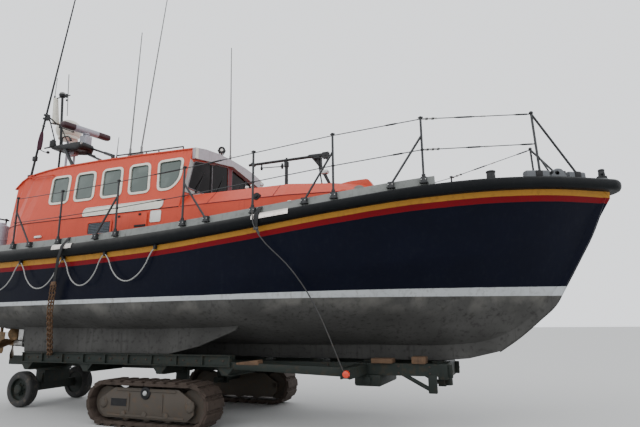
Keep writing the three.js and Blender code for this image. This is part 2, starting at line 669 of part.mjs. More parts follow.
function guardRail() {
  const pieces = [];
  for (const [x, lean] of POSTS) {
    pieces.push(socket(x), bar(railPoint(x, POST_FOOT), railPoint(x, POST_TOP), POST_RADIUS, 6));
    if (lean !== 0) {
      const foot = x + lean * BRACE_REACH;
      pieces.push(socket(foot));
      pieces.push(bar(railPoint(foot, POST_FOOT), railPoint(x, BRACE_HEIGHT), POST_RADIUS, 6));
    }
  }
  const bowHead = (height) => {
    const share = (height - PAD_HEIGHT) / (POST_TOP - PAD_HEIGHT);
    return railPoint(BOW_LEG.foot + (BOW_LEG.head - BOW_LEG.foot) * share, height, BOW_LEG.out);
  };
  for (const height of WIRE_HEIGHTS) {
    const ends = [...POSTS.map(([x]) => railPoint(x, height)), bowHead(height)];
    for (let i = 0; i < ends.length - 1; i += 1) {
      pieces.push(bar(ends[i], ends[i + 1], WIRE_RADIUS, 4));
    }
  }
  pieces.push(bar(bowHead(PAD_HEIGHT - 40), bowHead(POST_TOP), POST_RADIUS));
  pieces.push(bar(bowHead(POST_TOP - 15), railPoint(BOW_STAY.foot, PAD_HEIGHT - 30, BOW_LEG.out),
    POST_RADIUS));
  pieces.push(bar(bowHead(BOW_STAY.shortHeight), railPoint(BOW_STAY.short, 5, BOW_LEG.out), 12, 6));
  pieces.push(edgePad(PADS[0][0], PADS[1][1], 14));
  for (const [aft, front] of PADS) pieces.push(edgePad(aft, front, PAD_HEIGHT));
  const middle = (FAIRLEAD.aft + FAIRLEAD.front) / 2;
  const [, y, z] = railPoint(middle, 58, -75);
  const hole = bar([middle - 60, y - 150, z], [middle + 60, y + 150, z], 26, 8);
  pieces.push(edgePad(FAIRLEAD.aft, FAIRLEAD.front, FAIRLEAD.height).subtract(hole));
  return fuse(pieces);
}
const grownToeRail = belt(toeRailSection(GAP), toeRailPath);
const railCutter = fuse(underDeckTop, grownToeRail, mirrored(grownToeRail));
addPair('guard_rail', guardRail(), 'steel', railCutter);

// Propellers on brackets, and rudders hung behind them
const BLADES = 4;
function propeller(side) {
  const y = side * TUNNEL_Y;
  const pieces = [bar([PROPELLER_X - 90, y, SHAFT_Z], [PROPELLER_X + 80, y, SHAFT_Z], 55, 16)];
  for (let i = 0; i < BLADES; i += 1) {
    const shape = new THREE.Shape();
    shape.moveTo(-60, 40);
    shape.quadraticCurveTo(-150, 180, -70, 270);
    shape.quadraticCurveTo(0, PROPELLER_RADIUS + 20, 70, 270);
    shape.quadraticCurveTo(150, 180, 60, 40);
    const blade = new THREE.ExtrudeGeometry(shape, { depth: 14, bevelEnabled: false, curveSegments: 4 });
    blade.translate(0, 0, -7);
    blade.rotateY(0.6 * side + Math.PI / 2);
    blade.rotateX((i * 2 * Math.PI) / BLADES);
    blade.applyMatrix4(new THREE.Matrix4().makeTranslation(PROPELLER_X, y, SHAFT_Z));
    pieces.push(solid(blade));
  }
  return fuse(pieces);
}
addPair('propeller', propeller(-1), 'bronze');
addPair('shaft_line', shaftLine(0), 'bronze');

function rudder() {
  const y = -TUNNEL_Y;
  const blade = prism([
    [RUDDER_X + 110, y - 12], [RUDDER_X + 60, y - 24], [RUDDER_X, y - 26], [RUDDER_X - 250, y - 8],
    [RUDDER_X - 250, y + 8], [RUDDER_X, y + 26], [RUDDER_X + 60, y + 24], [RUDDER_X + 110, y + 12],
  ], 'z', 985, 1400);
  return fuse(blade, rudderStock(0));
}
addPair('rudder', rudder(), 'bronze');

// Hanging grab line under the belting on the starboard side: x, y, z. Clips hold its peaks.
const GRAB_LINE = [
  [-4750, -1775, 2580], [-4695, -1780, 2530], [-4535, -1790, 2295], [-4375, -1805, 2165],
  [-4215, -1810, 2125], [-4055, -1820, 2165], [-3895, -1820, 2300], [-3742, -1825, 2538],
  [-3680, -1825, 2585], [-3618, -1830, 2538], [-3475, -1835, 2300], [-3325, -1840, 2170],
  [-3170, -1845, 2130], [-3015, -1845, 2170], [-2865, -1845, 2305], [-2722, -1845, 2548],
  [-2660, -1845, 2595], [-2598, -1850, 2548], [-2480, -1850, 2315], [-2345, -1855, 2185],
  [-2210, -1860, 2145], [-2070, -1860, 2190], [-1935, -1860, 2330], [-1817, -1855, 2573],
  [-1755, -1855, 2620], [-1693, -1860, 2573], [-1555, -1860, 2340], [-1405, -1865, 2215],
  [-1255, -1865, 2180], [-1110, -1865, 2230], [-960, -1860, 2370], [-815, -1860, 2610],
  [-760, -1860, 2665],
];
const LINE_RADIUS = 10;
const LINE_STEPS = 48;
addPair('grab_line', swept(GRAB_LINE, LINE_RADIUS, 8, LINE_STEPS), 'rope');

// Mast frame on the roof, with the radar pedestal and the foot of the signal mast
const LIGHT_X = -4430;
const LIGHT_Y = -650;
const FRAME = { x0: -4520, x1: -3630, y0: -870, y1: -450, z: 5150, low: 4985 };
const RADAR = { x: -3780, y: -610, z: 5470 };
const SIGNAL = { x: -4720, y: -1030, foot: 4470, tipX: -3940, top: 8700 };
const TUBE = 22;
const SIGNAL_KNUCKLE = 30;
function mastFrame() {
  const { x0, x1, y0, y1, z, low } = FRAME;
  const plan = roundedOutline([[x0, y0], [x1, y0], [x1, y1], [x0, y1]], 150);
  const body = prism(plan, 'z', low, z + 12)
    .subtract(prism([[-4700, 4900], [-4060, 4900], [-4060, low], [-4500, 5120], [-4700, 5120]],
      'y', -1000, -300))
    .subtract(prism([[-3740, 4900], [-3500, 4900], [-3500, 5070], [-3630, 5070], [-3740, low]],
      'y', -1000, -300));
  const pieces = [body];
  pieces.push(
    bar([-4080, -830, 5050], [-3370, -1120, 4300], 34),
    bar([LIGHT_X, LIGHT_Y, 5120], [LIGHT_X, LIGHT_Y, 4300], TUBE, 6),
    bar([-4200, y1 - 40, low + 95], [-4240, y1, 4300], TUBE, 6),
    bar([-3700, -500, 5115], [-2511, -1100, 4610], TUBE, 6),
    block(-2545, -2478, -1118, -1078, 4400, 4632),
    bar([-3800, -540, low + 20], [-2697, -1100, 4518], TUBE, 6),
    bar([-4650, -850, 5146], [-4300, -850, 5146], 16, 6),
    block(-4490, -4370, -885, -812, 5130, 5285),
    block(RADAR.x - 95, RADAR.x + 95, RADAR.y - 85, RADAR.y + 85, z, RADAR.z - 105),
    bar([RADAR.x, RADAR.y, RADAR.z - 120], [RADAR.x, RADAR.y, RADAR.z - 90], 60, 12),
    block(SIGNAL.x - 60, SIGNAL.x + 60, SIGNAL.y - 60, SIGNAL.y + 60, 4200, SIGNAL.foot - 42),
    bar([SIGNAL.x + 40, SIGNAL.y + 55, SIGNAL.foot - 55], [LIGHT_X, LIGHT_Y, 4700], TUBE, 6),
  );
  for (const side of [-1, 1]) {
    const y = SIGNAL.y + side * 50;
    pieces.push(block(SIGNAL.x - 30, SIGNAL.x + 30, y - 7, y + 7, 4200, SIGNAL.foot + 40));
  }
  return fuse(pieces);
}
const underRoof = roofBand(-900, GAP);
const mastFrameSolid = mastFrame().subtract(underRoof);
add('mast_frame', mastFrameSolid, 'steel');

// Open radar scanner that turns on the pedestal
const SCANNER = { length: 1100, depth: 170, height: 125, turn: 1.356 };
function scanner() {
  const round = SCANNER.depth / 2;
  const outline = [];
  for (const [centre, start] of [[SCANNER.length / 2 - round, -0.5], [round - SCANNER.length / 2, 0.5]]) {
    for (let i = 0; i <= 6; i += 1) {
      const angle = (start + i / 6) * Math.PI;
      outline.push([centre + round * Math.cos(angle), round * Math.sin(angle)]);
    }
  }
  const blade = prism(outline, 'z', -SCANNER.height / 2, SCANNER.height / 2);
  const hub = bar([0, 0, -SCANNER.height / 2 - 20], [0, 0, 0], 70, 16);
  const placed = geometryOf(blade.add(hub));
  placed.rotateZ(SCANNER.turn);
  placed.translate(RADAR.x, RADAR.y, RADAR.z);
  return solid(placed);
}
add('radar_scanner', scanner(), 'paleGrey');

// Light mast with its lamp, crossbar and aerials, and the two stays that hold the signal mast
const LIGHT = { x: LIGHT_X, y: LIGHT_Y, foot: FRAME.z + 12 + GAP, lean: -110, head: 6400 };
const lightAt = (z) => LIGHT.x + (LIGHT.lean * (z - LIGHT.foot)) / (LIGHT.head - LIGHT.foot);
const CLAMP = { x: -4425, y: -1000, z: 5740 };
function lightMast() {
  const { y, foot, head } = LIGHT;
  const drum = lightAt(head) - 190;
  return fuse(
    bar([LIGHT.x, y, foot], [lightAt(head), y, head], 26, 8),
    bar([lightAt(head), y, head - 30], [lightAt(head), y, head + 75], 75, 12),
    bar([lightAt(head) - 260, y, 6370], [lightAt(head) + 230, y, 6370], 12, 6),
    bar([drum + 70, y, 5770], [drum, y, 6372], 72, 12, 46),
    bar([drum + 60, y, 5800], [lightAt(5640), y, 5640], 16, 6),
    bar([lightAt(head) + 203, y, 5900], [lightAt(head) + 126, y, 6880], 9, 6),
    bar([lightAt(head) - 230, y, 6360], [lightAt(head) - 215, y, 6860], 8, 6),
    bar([CLAMP.x, CLAMP.y, CLAMP.z], [lightAt(5700), y, 5700], 15, 6),
    bar([CLAMP.x, CLAMP.y, CLAMP.z], [LIGHT.x - 20, y - 90, foot + 20], 13, 6),
    bar([LIGHT.x, y, foot], [LIGHT.x - 20, y - 90, foot + 20], 13, 6),
    block(CLAMP.x - 18, CLAMP.x + 12, CLAMP.y - 55, CLAMP.y + 20, CLAMP.z - 40, CLAMP.z + 40),
  ).subtract(block(-6000, 0, -2000, 0, 5000, foot));
}
add('light_mast', lightMast(), 'steel');

// Satellite dome on a post beside the frame
const DOME = { x: -4710, y: -250, z: 5760, radius: 270, height: 0.9 };
function dome() {
  const ball = new THREE.SphereGeometry(DOME.radius, 16, 10);
  ball.scale(1, 1, DOME.height);
  ball.translate(DOME.x, DOME.y, DOME.z);
  const drum = bar([DOME.x, DOME.y, DOME.z - 215], [DOME.x, DOME.y, DOME.z - 60], DOME.radius - 55, 16);
  const post = bar([DOME.x, DOME.y, 4200], [DOME.x, DOME.y, DOME.z - 100], 26);
  return fuse(solid(ball), drum, post).subtract(underRoof);
}
add('satellite_dome', dome(), 'white');

// Raked signal mast, hinged at its foot to fold aft
add('signal_mast', fuse(
  bar([SIGNAL.x, SIGNAL.y, SIGNAL.foot], [SIGNAL.tipX, SIGNAL.y, SIGNAL.top], 24, 10, 13),
  bar([SIGNAL.x, SIGNAL.y - 37, SIGNAL.foot], [SIGNAL.x, SIGNAL.y + 37, SIGNAL.foot],
    SIGNAL_KNUCKLE, 12),
), 'steel');

// Whip aerials: foot x, foot y, tip x, tip z
const WHIPS = [[-2198, -1000, -2122, 7132], [-1935, -1000, -1555, 7730], [-714, 100, -765, 7086]];
function whip([x, y, tipX, tipZ]) {
  return fuse(
    bar([x, y, 4300], [x, y, 4740], 22, 10),
    bar([x, y, 4730], [tipX, y, tipZ], 15, 8, 9),
  );
}
const whipBase = block(-2235, -1900, -1030, -970, 4300, 4620);
add('whip_aerials_side', fuse(whip(WHIPS[0]), whip(WHIPS[1]), whipBase).subtract(underRoof),
  'white');
add('whip_aerial_front', whip(WHIPS[2]).subtract(underRoof), 'white');

// Roof handrails and searchlight
function roofRail() {
  const feet = [-2400, -2070, -1710, -1430, -900];
  const y = -1120;
  const height = (x) => 4553 - 0.025 * (x + 890);
  const pieces = [bar([feet[0], y, height(feet[0])], [feet[4], y, height(feet[4])], 14)];
  for (const x of feet) pieces.push(bar([x, y, 4300], [x, y, height(x)], 12));
  return fuse(pieces);
}
addPair('roof_rail', roofRail(), 'steel', underRoof);
const LAMP = { x: -720, y: -200, z: 4750, radius: 66, towards: [0.55, -0.83] };
add('searchlight', fuse(
  bar([LAMP.x, LAMP.y, 4400], [LAMP.x, LAMP.y, LAMP.z - 30], 24, 12),
  bar([LAMP.x - 60 * LAMP.towards[0], LAMP.y - 60 * LAMP.towards[1], LAMP.z],
    [LAMP.x + 50 * LAMP.towards[0], LAMP.y + 50 * LAMP.towards[1], LAMP.z], LAMP.radius, 16),
).subtract(underRoof), 'steel');

// Recovery davit on the trunk: post, crutch and a swinging boom with its hand winch
const DAVIT = { x: 870, y: -650, boomZ: 4210, tail: 95, head: 1590, radius: 24, crutch: 1440 };
const insideTrunk = trunkShape(-GAP);
function davitPost() {
  const { x, y, boomZ, crutch } = DAVIT;
  return fuse(
    bar([x, y, 3400], [x, y, boomZ - 46], 30, 12),
    bar([x, y, 3400], [x, y, 3700], 80, 12),
    bar([x, y, boomZ - 80], [x, y, boomZ + 34], 16, 12),
    block(x, 1690, y - 20, y + 20, 3400, 3690),
    bar([1690, y, 3400], [crutch, y, boomZ - 70], 20),
    bar([1520, y, 3640], [crutch + 20, y - 45, boomZ - 80], 12, 6),
    block(crutch - 50, crutch + 50, y - 60, y + 60, boomZ - 75, boomZ - 30),
  ).subtract(insideTrunk);
}
add('davit_post', davitPost(), 'steel');
function davitBoom() {
  const { x, y, boomZ, tail, head, radius } = DAVIT;
  const crankX = 395;
  return fuse(
    bar([tail + 60, y, boomZ], [head, y, boomZ], radius, 12),
    block(tail, tail + 260, y - 32, y + 32, boomZ - 38, boomZ + 34),
    bar([head - 10, y - 28, boomZ - 8], [head - 10, y + 28, boomZ - 8], 62, 12),
    block(head - 190, head, y - 26, y + 26, boomZ - 26, boomZ + 28),
    bar([crankX, y, boomZ - 78], [x - 95, y, boomZ - 66], 16),
    block(crankX - 12, crankX + 16, y - 16, y + 16, boomZ - 105, boomZ - 5),
    block(x - 110, x - 30, y - 36, y + 36, boomZ - 42, boomZ - 10),
    block(x - 60, x + 60, y - 48, y + 48, boomZ - 40, boomZ + 44),
  ).subtract(bar([x, y, boomZ - 120], [x, y, boomZ + 38], 18, 12))
    .subtract(bar([x, y, boomZ - 120], [x, y, boomZ - 36], 40, 12));
}
add('davit_boom', davitBoom(), 'steel');

// Foredeck: bollard, closed chocks and bow post
const bollard = fuse(
  block(4030, 4250, -760, -540, 3300, 3450),
  bar([4140, -650, 3400], [4140, -650, 3560], 45, 12),
  bar([4140, -650, 3540], [4140, -650, 3575], 75, 12),
);
addPair('bollard', bollard, 'steel', underDeckTop);
const BOW = { aft: 5500, front: 5635, half: 62, z: 3560, post: 5575 };
add('bow_post', fuse(
  block(BOW.aft, BOW.front, -BOW.half, BOW.half, 3300, 3530),
  bar([BOW.post, 0, 3450], [BOW.post, 0, 3625], 50, 12),
  bar([BOW.post, -110, BOW.z], [BOW.post, 110, BOW.z], 18),
).subtract(underDeckTop).subtract(grownFender), 'steel');

// Carriage frame under the boat
const MAIN_RAILS = { y: 400, half: 60, z0: 760, z1: 930, aft: -5480, front: 3180 };
const AXLE_X = -1060;
const AXLE_Z = 505;
const CROSS_XS = [-5400, -4000, -2600, AXLE_X, 150, 1200, 2050, 3120];
function carriageFrame() {
  const { y, half, z0, z1, aft, front } = MAIN_RAILS;
  const pieces = [-1, 1].map((side) => (
    block(aft, front, side * y - half, side * y + half, z0, z1)));
  for (const x of CROSS_XS) {
    const reach = x > -4100 && x < 300 ? 1240 : y;
    pieces.push(block(x - 60, x + 60, -reach, reach, z0 + 10, z1 - 10));
  }
  pieces.push(block(1990, 2110, -1250, 1250, z0 + 20, z1 - 20));
  pieces.push(block(-5100, front, -130, 130, z0 + 30, KEEL_BOTTOM - 60));
  for (const x of CROSS_XS.slice(1)) {
    pieces.push(block(x - 90, x + 90, -110, 110, z0 + 30, KEEL_BOTTOM - GAP));
  }
  for (const side of [-1, 1]) {
    const [y0, y1] = side < 0 ? [SIDE_RAIL.y0, SIDE_RAIL.y1] : [-SIDE_RAIL.y1, -SIDE_RAIL.y0];
    pieces.push(block(-4100, 260, y0, y1, SIDE_RAIL.z0, SIDE_RAIL.z1));
    pieces.push(bar([AXLE_X, side * 380, AXLE_Z], [AXLE_X, side * 1530, AXLE_Z], 55, 16));
    pieces.push(block(AXLE_X - 110, AXLE_X + 110, side * 620 - 40, side * 620 + 40, AXLE_Z - 70,
      z0 + 40));
  }
  return fuse(pieces);
}
const frame = carriageFrame().subtract(prism(KEEL_OUTLINE, 'y', -KEEL_WIDTH / 2 - 1,
  KEEL_WIDTH / 2 + 1));
add('carriage_frame', frame, 'carriage');

// Main tracks: one closed loop of shoes round a bogie with its rollers
const TRACK = { y0: -1550, y1: -1100, half: 810, radius: 340, thick: 50, lug: 30, shoes: 26 };
const TRACK_Z = TRACK.radius;
function loopPoint(distance, radius) {
  const straight = 2 * TRACK.half;
  const arc = Math.PI * TRACK.radius;
  const total = 2 * (straight + arc);
  const d = ((distance % total) + total) % total;
  if (d < straight) return [AXLE_X - TRACK.half + d, TRACK_Z - radius];
  if (d < straight + arc) {
    const angle = -Math.PI / 2 + (d - straight) / TRACK.radius;
    return [AXLE_X + TRACK.half + radius * Math.cos(angle), TRACK_Z + radius * Math.sin(angle)];
  }
  if (d < 2 * straight + arc) {
    return [AXLE_X + TRACK.half - (d - straight - arc), TRACK_Z + radius];
  }
  const angle = Math.PI / 2 + (d - 2 * straight - arc) / TRACK.radius;
  return [AXLE_X - TRACK.half + radius * Math.cos(angle), TRACK_Z + radius * Math.sin(angle)];
}
function trackLoop() {
  const total = 2 * (2 * TRACK.half + Math.PI * TRACK.radius);
  const pitch = total / TRACK.shoes;
  const outline = [];
  for (let i = 0; i < TRACK.shoes; i += 1) {
    const start = i * pitch;
    const low = TRACK.radius - TRACK.lug;
    outline.push(loopPoint(start, low), loopPoint(start + pitch * 0.18, low));
    outline.push(loopPoint(start + pitch * 0.26, TRACK.radius));
    outline.push(loopPoint(start + pitch * 0.92, TRACK.radius));
  }
  const inner = [];
  for (let i = 0; i < 48; i += 1) {
    inner.push(loopPoint((i * total) / 48, TRACK.radius - TRACK.lug - TRACK.thick));
  }
  return prism(outline, 'y', TRACK.y0, TRACK.y1)
    .subtract(prism(inner, 'y', TRACK.y0 - 50, TRACK.y1 + 50));
}
addPair('track_loop', trackLoop(), 'trackBrown');

function bogie() {
  const inside = TRACK.radius - TRACK.lug - TRACK.thick - 6;
  const pieces = [];
  for (const [y0, y1] of [[-1512, -1480], [-1180, -1150]]) {
    pieces.push(prism([
      [AXLE_X - 880, 230], [AXLE_X - 760, 130], [AXLE_X + 760, 130], [AXLE_X + 880, 230],
      [AXLE_X + 880, 400], [AXLE_X + 600, 570], [AXLE_X - 600, 570], [AXLE_X - 880, 400],
    ], 'y', y0, y1));
  }
  for (const x of [-TRACK.half, TRACK.half]) {
    pieces.push(bar([AXLE_X + x, -1470, TRACK_Z], [AXLE_X + x, -1190, TRACK_Z], inside, 16));
    pieces.push(bar([AXLE_X + x, -1530, TRACK_Z], [AXLE_X + x, -1150, TRACK_Z], 70, 8));
  }
  for (const x of [-400, 0, 400]) {
    const radius = 110;
    const z = TRACK_Z - inside + radius;
    pieces.push(bar([AXLE_X + x, -1470, z], [AXLE_X + x, -1190, z], radius, 10));
    pieces.push(bar([AXLE_X + x, -1530, z], [AXLE_X + x, -1150, z], 40, 6));
  }
  return fuse(pieces).subtract(bar([AXLE_X, -1600, AXLE_Z], [AXLE_X, -1000, AXLE_Z],
    55 + GAP, 16));
}
addPair('track_bogie', bogie(), 'trackBrown');

// Steering fore-carriage at the towing end: turntable, axle, drawbar and two wheels
const STEER = { x: -4750, axleZ: 330, track: 660 };
const steering = fuse(
  bar([STEER.x, 0, 650], [STEER.x, 0, MAIN_RAILS.z0 - 6], 330, 24),
  block(STEER.x - 120, STEER.x + 120, -300, 300, 420, 660),
  block(STEER.x - 60, STEER.x + 60, -520, 520, 270, 430),
  bar([STEER.x, -545, STEER.axleZ], [STEER.x, 545, STEER.axleZ], 50, 12),
  bar([STEER.x - 60, -330, 380], [-5640, -30, 420], 32),
  bar([STEER.x - 60, 330, 380], [-5640, 30, 420], 32),
  block(-5700, -5600, -60, 60, 395, 445),
  prism([[-5800, -50], [-5690, -80], [-5690, 80], [-5800, 50]], 'z', 400, 440),
).subtract(bar([-5745, 0, 300], [-5745, 0, 500], 28, 12));
add('steering_frame', steering, 'carriage');
function wheel() {
  const y = -STEER.track;
  return fuse(
    bar([STEER.x, y - 100, STEER.axleZ], [STEER.x, y + 100, STEER.axleZ], STEER.axleZ, 32),
    bar([STEER.x, y - 125, STEER.axleZ], [STEER.x, y, STEER.axleZ], 90, 16),
  ).subtract(bar([STEER.x, y + 60, STEER.axleZ], [STEER.x, y + 200, STEER.axleZ], 200, 24));
}
addPair('carriage_wheel', wheel(), 'rubber');

// Tie-downs from the deck edge to the carriage
const LASHING = 13;
function lashing(points) {
  return swept(points, LASHING, 6, 14);
}
addPair('lashing_aft', lashing([
  [-2600, -1945, 2850], [-2630, -1965, 2620], [-2790, -1860, 2060], [-2900, -1775, 1720],
  [-3420, -1262, 1000],
]), 'steel');
addPair('lashing_forward', lashing([
  [950, -1925, 3100], [1000, -1945, 2840], [1500, -1730, 2200], [1720, -1560, 1790],
  [2050, -1270, 840],
]), 'steel');

export default boat;
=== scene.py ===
# %% [markdown]
# A decked rescue boat stands ashore on its tracked launching carriage.
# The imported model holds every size, place and joint. This file dresses it: it makes the fine
# surfaces, the small fittings and the finishes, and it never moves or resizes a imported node.

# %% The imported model
import math

import bpy
from mathutils import Matrix, Vector


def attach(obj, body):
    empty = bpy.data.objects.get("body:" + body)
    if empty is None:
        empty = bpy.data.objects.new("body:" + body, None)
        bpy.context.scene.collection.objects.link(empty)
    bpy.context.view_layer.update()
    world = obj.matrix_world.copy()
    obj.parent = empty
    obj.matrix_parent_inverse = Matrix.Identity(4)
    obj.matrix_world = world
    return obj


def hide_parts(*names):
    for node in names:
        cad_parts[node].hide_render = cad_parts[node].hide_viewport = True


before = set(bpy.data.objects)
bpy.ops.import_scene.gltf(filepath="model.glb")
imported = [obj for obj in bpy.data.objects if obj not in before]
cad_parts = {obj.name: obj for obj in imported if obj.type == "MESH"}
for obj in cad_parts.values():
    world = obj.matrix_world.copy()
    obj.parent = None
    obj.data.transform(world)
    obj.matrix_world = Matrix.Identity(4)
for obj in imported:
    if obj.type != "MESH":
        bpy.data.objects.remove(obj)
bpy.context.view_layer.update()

BOAT = "boat"

# %% [markdown]
# The camera repeats the photograph's view: low on the starboard bow, looking up and aft.
# Its place and angles came from a fit on the guard rail posts, the windows and the waterline,
# so the pieces can be compared with the photograph one by one.

# %% Camera
CAMERA_PLACE = (4.386, -7.924, 1.525)
CAMERA_YAW = math.radians(21.85)
CAMERA_PITCH = math.radians(12.3)
CAMERA_ROLL = math.radians(-0.57)
CAMERA_LENS = 28.125
SENSOR_WIDTH = 36.0


def add_camera():
    data = bpy.data.cameras.new("photo_camera")
    data.sensor_fit = "HORIZONTAL"
    data.sensor_width = SENSOR_WIDTH
    data.lens = CAMERA_LENS
    data.clip_end = 400
    camera = bpy.data.objects.new("photo_camera", data)
    bpy.context.scene.collection.objects.link(camera)
    turn = Matrix.Rotation(CAMERA_YAW, 4, "Z")
    tilt = Matrix.Rotation(math.pi / 2 + CAMERA_PITCH, 4, "X")
    roll = Matrix.Rotation(CAMERA_ROLL, 4, "Z")
    camera.matrix_world = Matrix.Translation(CAMERA_PLACE) @ turn @ tilt @ roll
    bpy.context.scene.camera = camera


add_camera()

# %% [markdown]
# Everything on a boat's side follows the sheer, the long curve of the deck edge. The hull lines
# are read from a few cross-sections by a smooth cubic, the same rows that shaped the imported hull,
# so the skin, the fender, the ropes and the rails all take their places from one function.

# %% Hull lines
X, CENTRE_Z, CHINE_Y, CHINE_Z, BILGE_Y, BILGE_Z, KNUCKLE_Y, KNUCKLE_Z, DECK_Y, DECK_Z = range(10)
STATIONS = [
    # x, centre z, chine y, z, bilge y, z, knuckle y, z, deck edge y, z
    [-5.700, 1.420, 1.150, 1.540, 1.540, 1.760, 1.600, 2.050, 1.700, 2.830],
    [-4.200, 1.290, 1.210, 1.500, 1.640, 1.740, 1.690, 2.060, 1.805, 2.828],
    [-2.200, 1.200, 1.260, 1.470, 1.710, 1.720, 1.750, 2.080, 1.850, 2.850],
    [-0.300, 1.160, 1.250, 1.470, 1.700, 1.730, 1.755, 2.100, 1.855, 2.935],
    [1.000, 1.150, 1.110, 1.490, 1.560, 1.760, 1.680, 2.160, 1.840, 3.030],
    [2.200, 1.150, 0.830, 1.530, 1.230, 1.790, 1.480, 2.240, 1.765, 3.140],
    [3.200, 1.130, 0.540, 1.550, 0.810, 1.800, 1.190, 2.330, 1.560, 3.262],
    [4.000, 1.210, 0.290, 1.590, 0.450, 1.830, 0.850, 2.430, 1.270, 3.345],
    [4.600, 1.590, 0.110, 1.760, 0.190, 1.900, 0.530, 2.540, 0.950, 3.392],
    [5.000, 2.090, 0.045, 2.160, 0.090, 2.260, 0.270, 2.660, 0.680, 3.415],
    [5.350, 2.720, 0.020, 2.760, 0.045, 2.820, 0.110, 2.980, 0.405, 3.428],
    [5.640, 3.200, 0.010, 3.210, 0.020, 3.225, 0.040, 3.260, 0.130, 3.435],
]


def reading(x, column):
    last = len(STATIONS) - 1
    i = 0
    while i < last - 1 and x > STATIONS[i + 1][X]:
        i += 1

    def slope(k):
        before = STATIONS[max(k - 1, 0)]
        after = STATIONS[min(k + 1, last)]
        return (after[column] - before[column]) / (after[X] - before[X])

    start, end = STATIONS[i], STATIONS[i + 1]
    span = end[X] - start[X]
    t = (x - start[X]) / span
    rise_in, rise_out = slope(i) * span, slope(i + 1) * span
    return (start[column] * (2 * t**3 - 3 * t**2 + 1) + rise_in * (t**3 - 2 * t**2 + t)
            + end[column] * (3 * t**2 - 2 * t**3) + rise_out * (t**3 - t**2))


def deck_half(x):
    return reading(x, DECK_Y)


def deck_edge(x):
    return reading(x, DECK_Z)


TRANSOM_X = STATIONS[0][X]
BOW_X = STATIONS[-1][X]
print("hull lines from", TRANSOM_X, "to", BOW_X)

# %% [markdown]
# The grab lines hang in loops from clips under the fender, as handholds near the water.
# A rope held at its clips is one smooth curve that sags between them, so each line is a curve of
# one spline through listed points, the same points that its packed tube follows, and it
# is turned into a tube once it has its thickness.

# %% Grab lines
ROPE_DIAMETER = 0.02
GRAB_LINE = [
    # x, y on the starboard side, z
    [-4.750, -1.775, 2.580], [-4.695, -1.780, 2.530], [-4.535, -1.790, 2.295], [-4.375, -1.805, 2.165],
    [-4.215, -1.810, 2.125], [-4.055, -1.820, 2.165], [-3.895, -1.820, 2.300], [-3.742, -1.825, 2.538],
    [-3.680, -1.825, 2.585], [-3.618, -1.830, 2.538], [-3.475, -1.835, 2.300], [-3.325, -1.840, 2.170],
    [-3.170, -1.845, 2.130], [-3.015, -1.845, 2.170], [-2.865, -1.845, 2.305], [-2.722, -1.845, 2.548],
    [-2.660, -1.845, 2.595], [-2.598, -1.850, 2.548], [-2.480, -1.850, 2.315], [-2.345, -1.855, 2.185],
    [-2.210, -1.860, 2.145], [-2.070, -1.860, 2.190], [-1.935, -1.860, 2.330], [-1.817, -1.855, 2.573],
    [-1.755, -1.855, 2.620], [-1.693, -1.860, 2.573], [-1.555, -1.860, 2.340], [-1.405, -1.865, 2.215],
    [-1.255, -1.865, 2.180], [-1.110, -1.865, 2.230], [-0.960, -1.860, 2.370], [-0.815, -1.860, 2.610],
    [-0.760, -1.860, 2.665],
]


def fresh():
    """Leave edit mode and deselect everything."""
    if bpy.context.object and bpy.context.object.mode != "OBJECT":
        bpy.ops.object.mode_set(mode="OBJECT")
    bpy.ops.object.select_all(action="DESELECT")


def pick(piece):
    fresh()
    piece.select_set(True)
    bpy.context.view_layer.objects.active = piece


def smooth_curve(name, points, resolution, closed=False, bend="AUTO"):
    """A curve object of one spline through points."""
    data = bpy.data.curves.new(name, "CURVE")
    data.dimensions = "3D"
    data.resolution_u = resolution
    spline = data.splines.new("BEZIER")
    spline.bezier_points.add(len(points) - 1)
    spline.use_cyclic_u = closed
    for point, place in zip(spline.bezier_points, points):
        point.co = place
        point.handle_left_type = bend
        point.handle_right_type = bend
    curve = bpy.data.objects.new(name, data)
    bpy.context.scene.collection.objects.link(curve)
    return curve


def centreline(curve):
    """The points of a curve's own line, read before the curve has any thickness."""
    bpy.context.view_layer.update()
    line = curve.evaluated_get(bpy.context.evaluated_depsgraph_get()).to_mesh()
    return [tuple(vertex.co) for vertex in line.vertices]


def thickened(curve, radius, sides):
    """Give a curve its thickness and turn it into a mesh."""
    curve.data.bevel_depth = radius
    curve.data.bevel_resolution = sides
    curve.data.use_fill_caps = True
    pick(curve)
    bpy.ops.object.convert(target="MESH")
    return bpy.context.object


def add_grab_line(side):
    name = "grab_line_starboard" if side < 0 else "grab_line_port"
    rope = smooth_curve(name + "_rope", [(x, -side * y, z) for x, y, z in GRAB_LINE], 6)
    route = centreline(rope)
    rope = thickened(rope, ROPE_DIAMETER / 2, 3)
    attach(rope, BOAT)
    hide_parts(name)
    return rope


grab_lines = [add_grab_line(side) for side in (-1, 1)]
print("grab lines:", len(GRAB_LINE), "points each")

# %% [markdown]
# A plain pale floor and soft lights show the object as in a studio. The photograph has the even
# light of an overcast sky, so most light here comes from the pale world, with a large soft lamp
# high on the camera's side to model the forms and a weaker one from ahead.

# %% Floor, world and lights
FLOOR_HALF = 120.0
FLOOR_DROP = 0.002


def add_floor():
    bpy.ops.mesh.primitive_plane_add(size=2 * FLOOR_HALF, location=(0, 0, -FLOOR_DROP))
    floor = bpy.context.object
    floor.name = "studio_floor"
    bpy.ops.object.transform_apply(location=True, rotation=True, scale=True)
    material = bpy.data.materials.new("studio_floor")
    material.use_nodes = True
    shader = material.node_tree.nodes["Principled BSDF"]
    shader.inputs["Base Color"].default_value = (0.5, 0.5, 0.49, 1)
    shader.inputs["Roughness"].default_value = 0.9
    floor.data.materials.append(material)


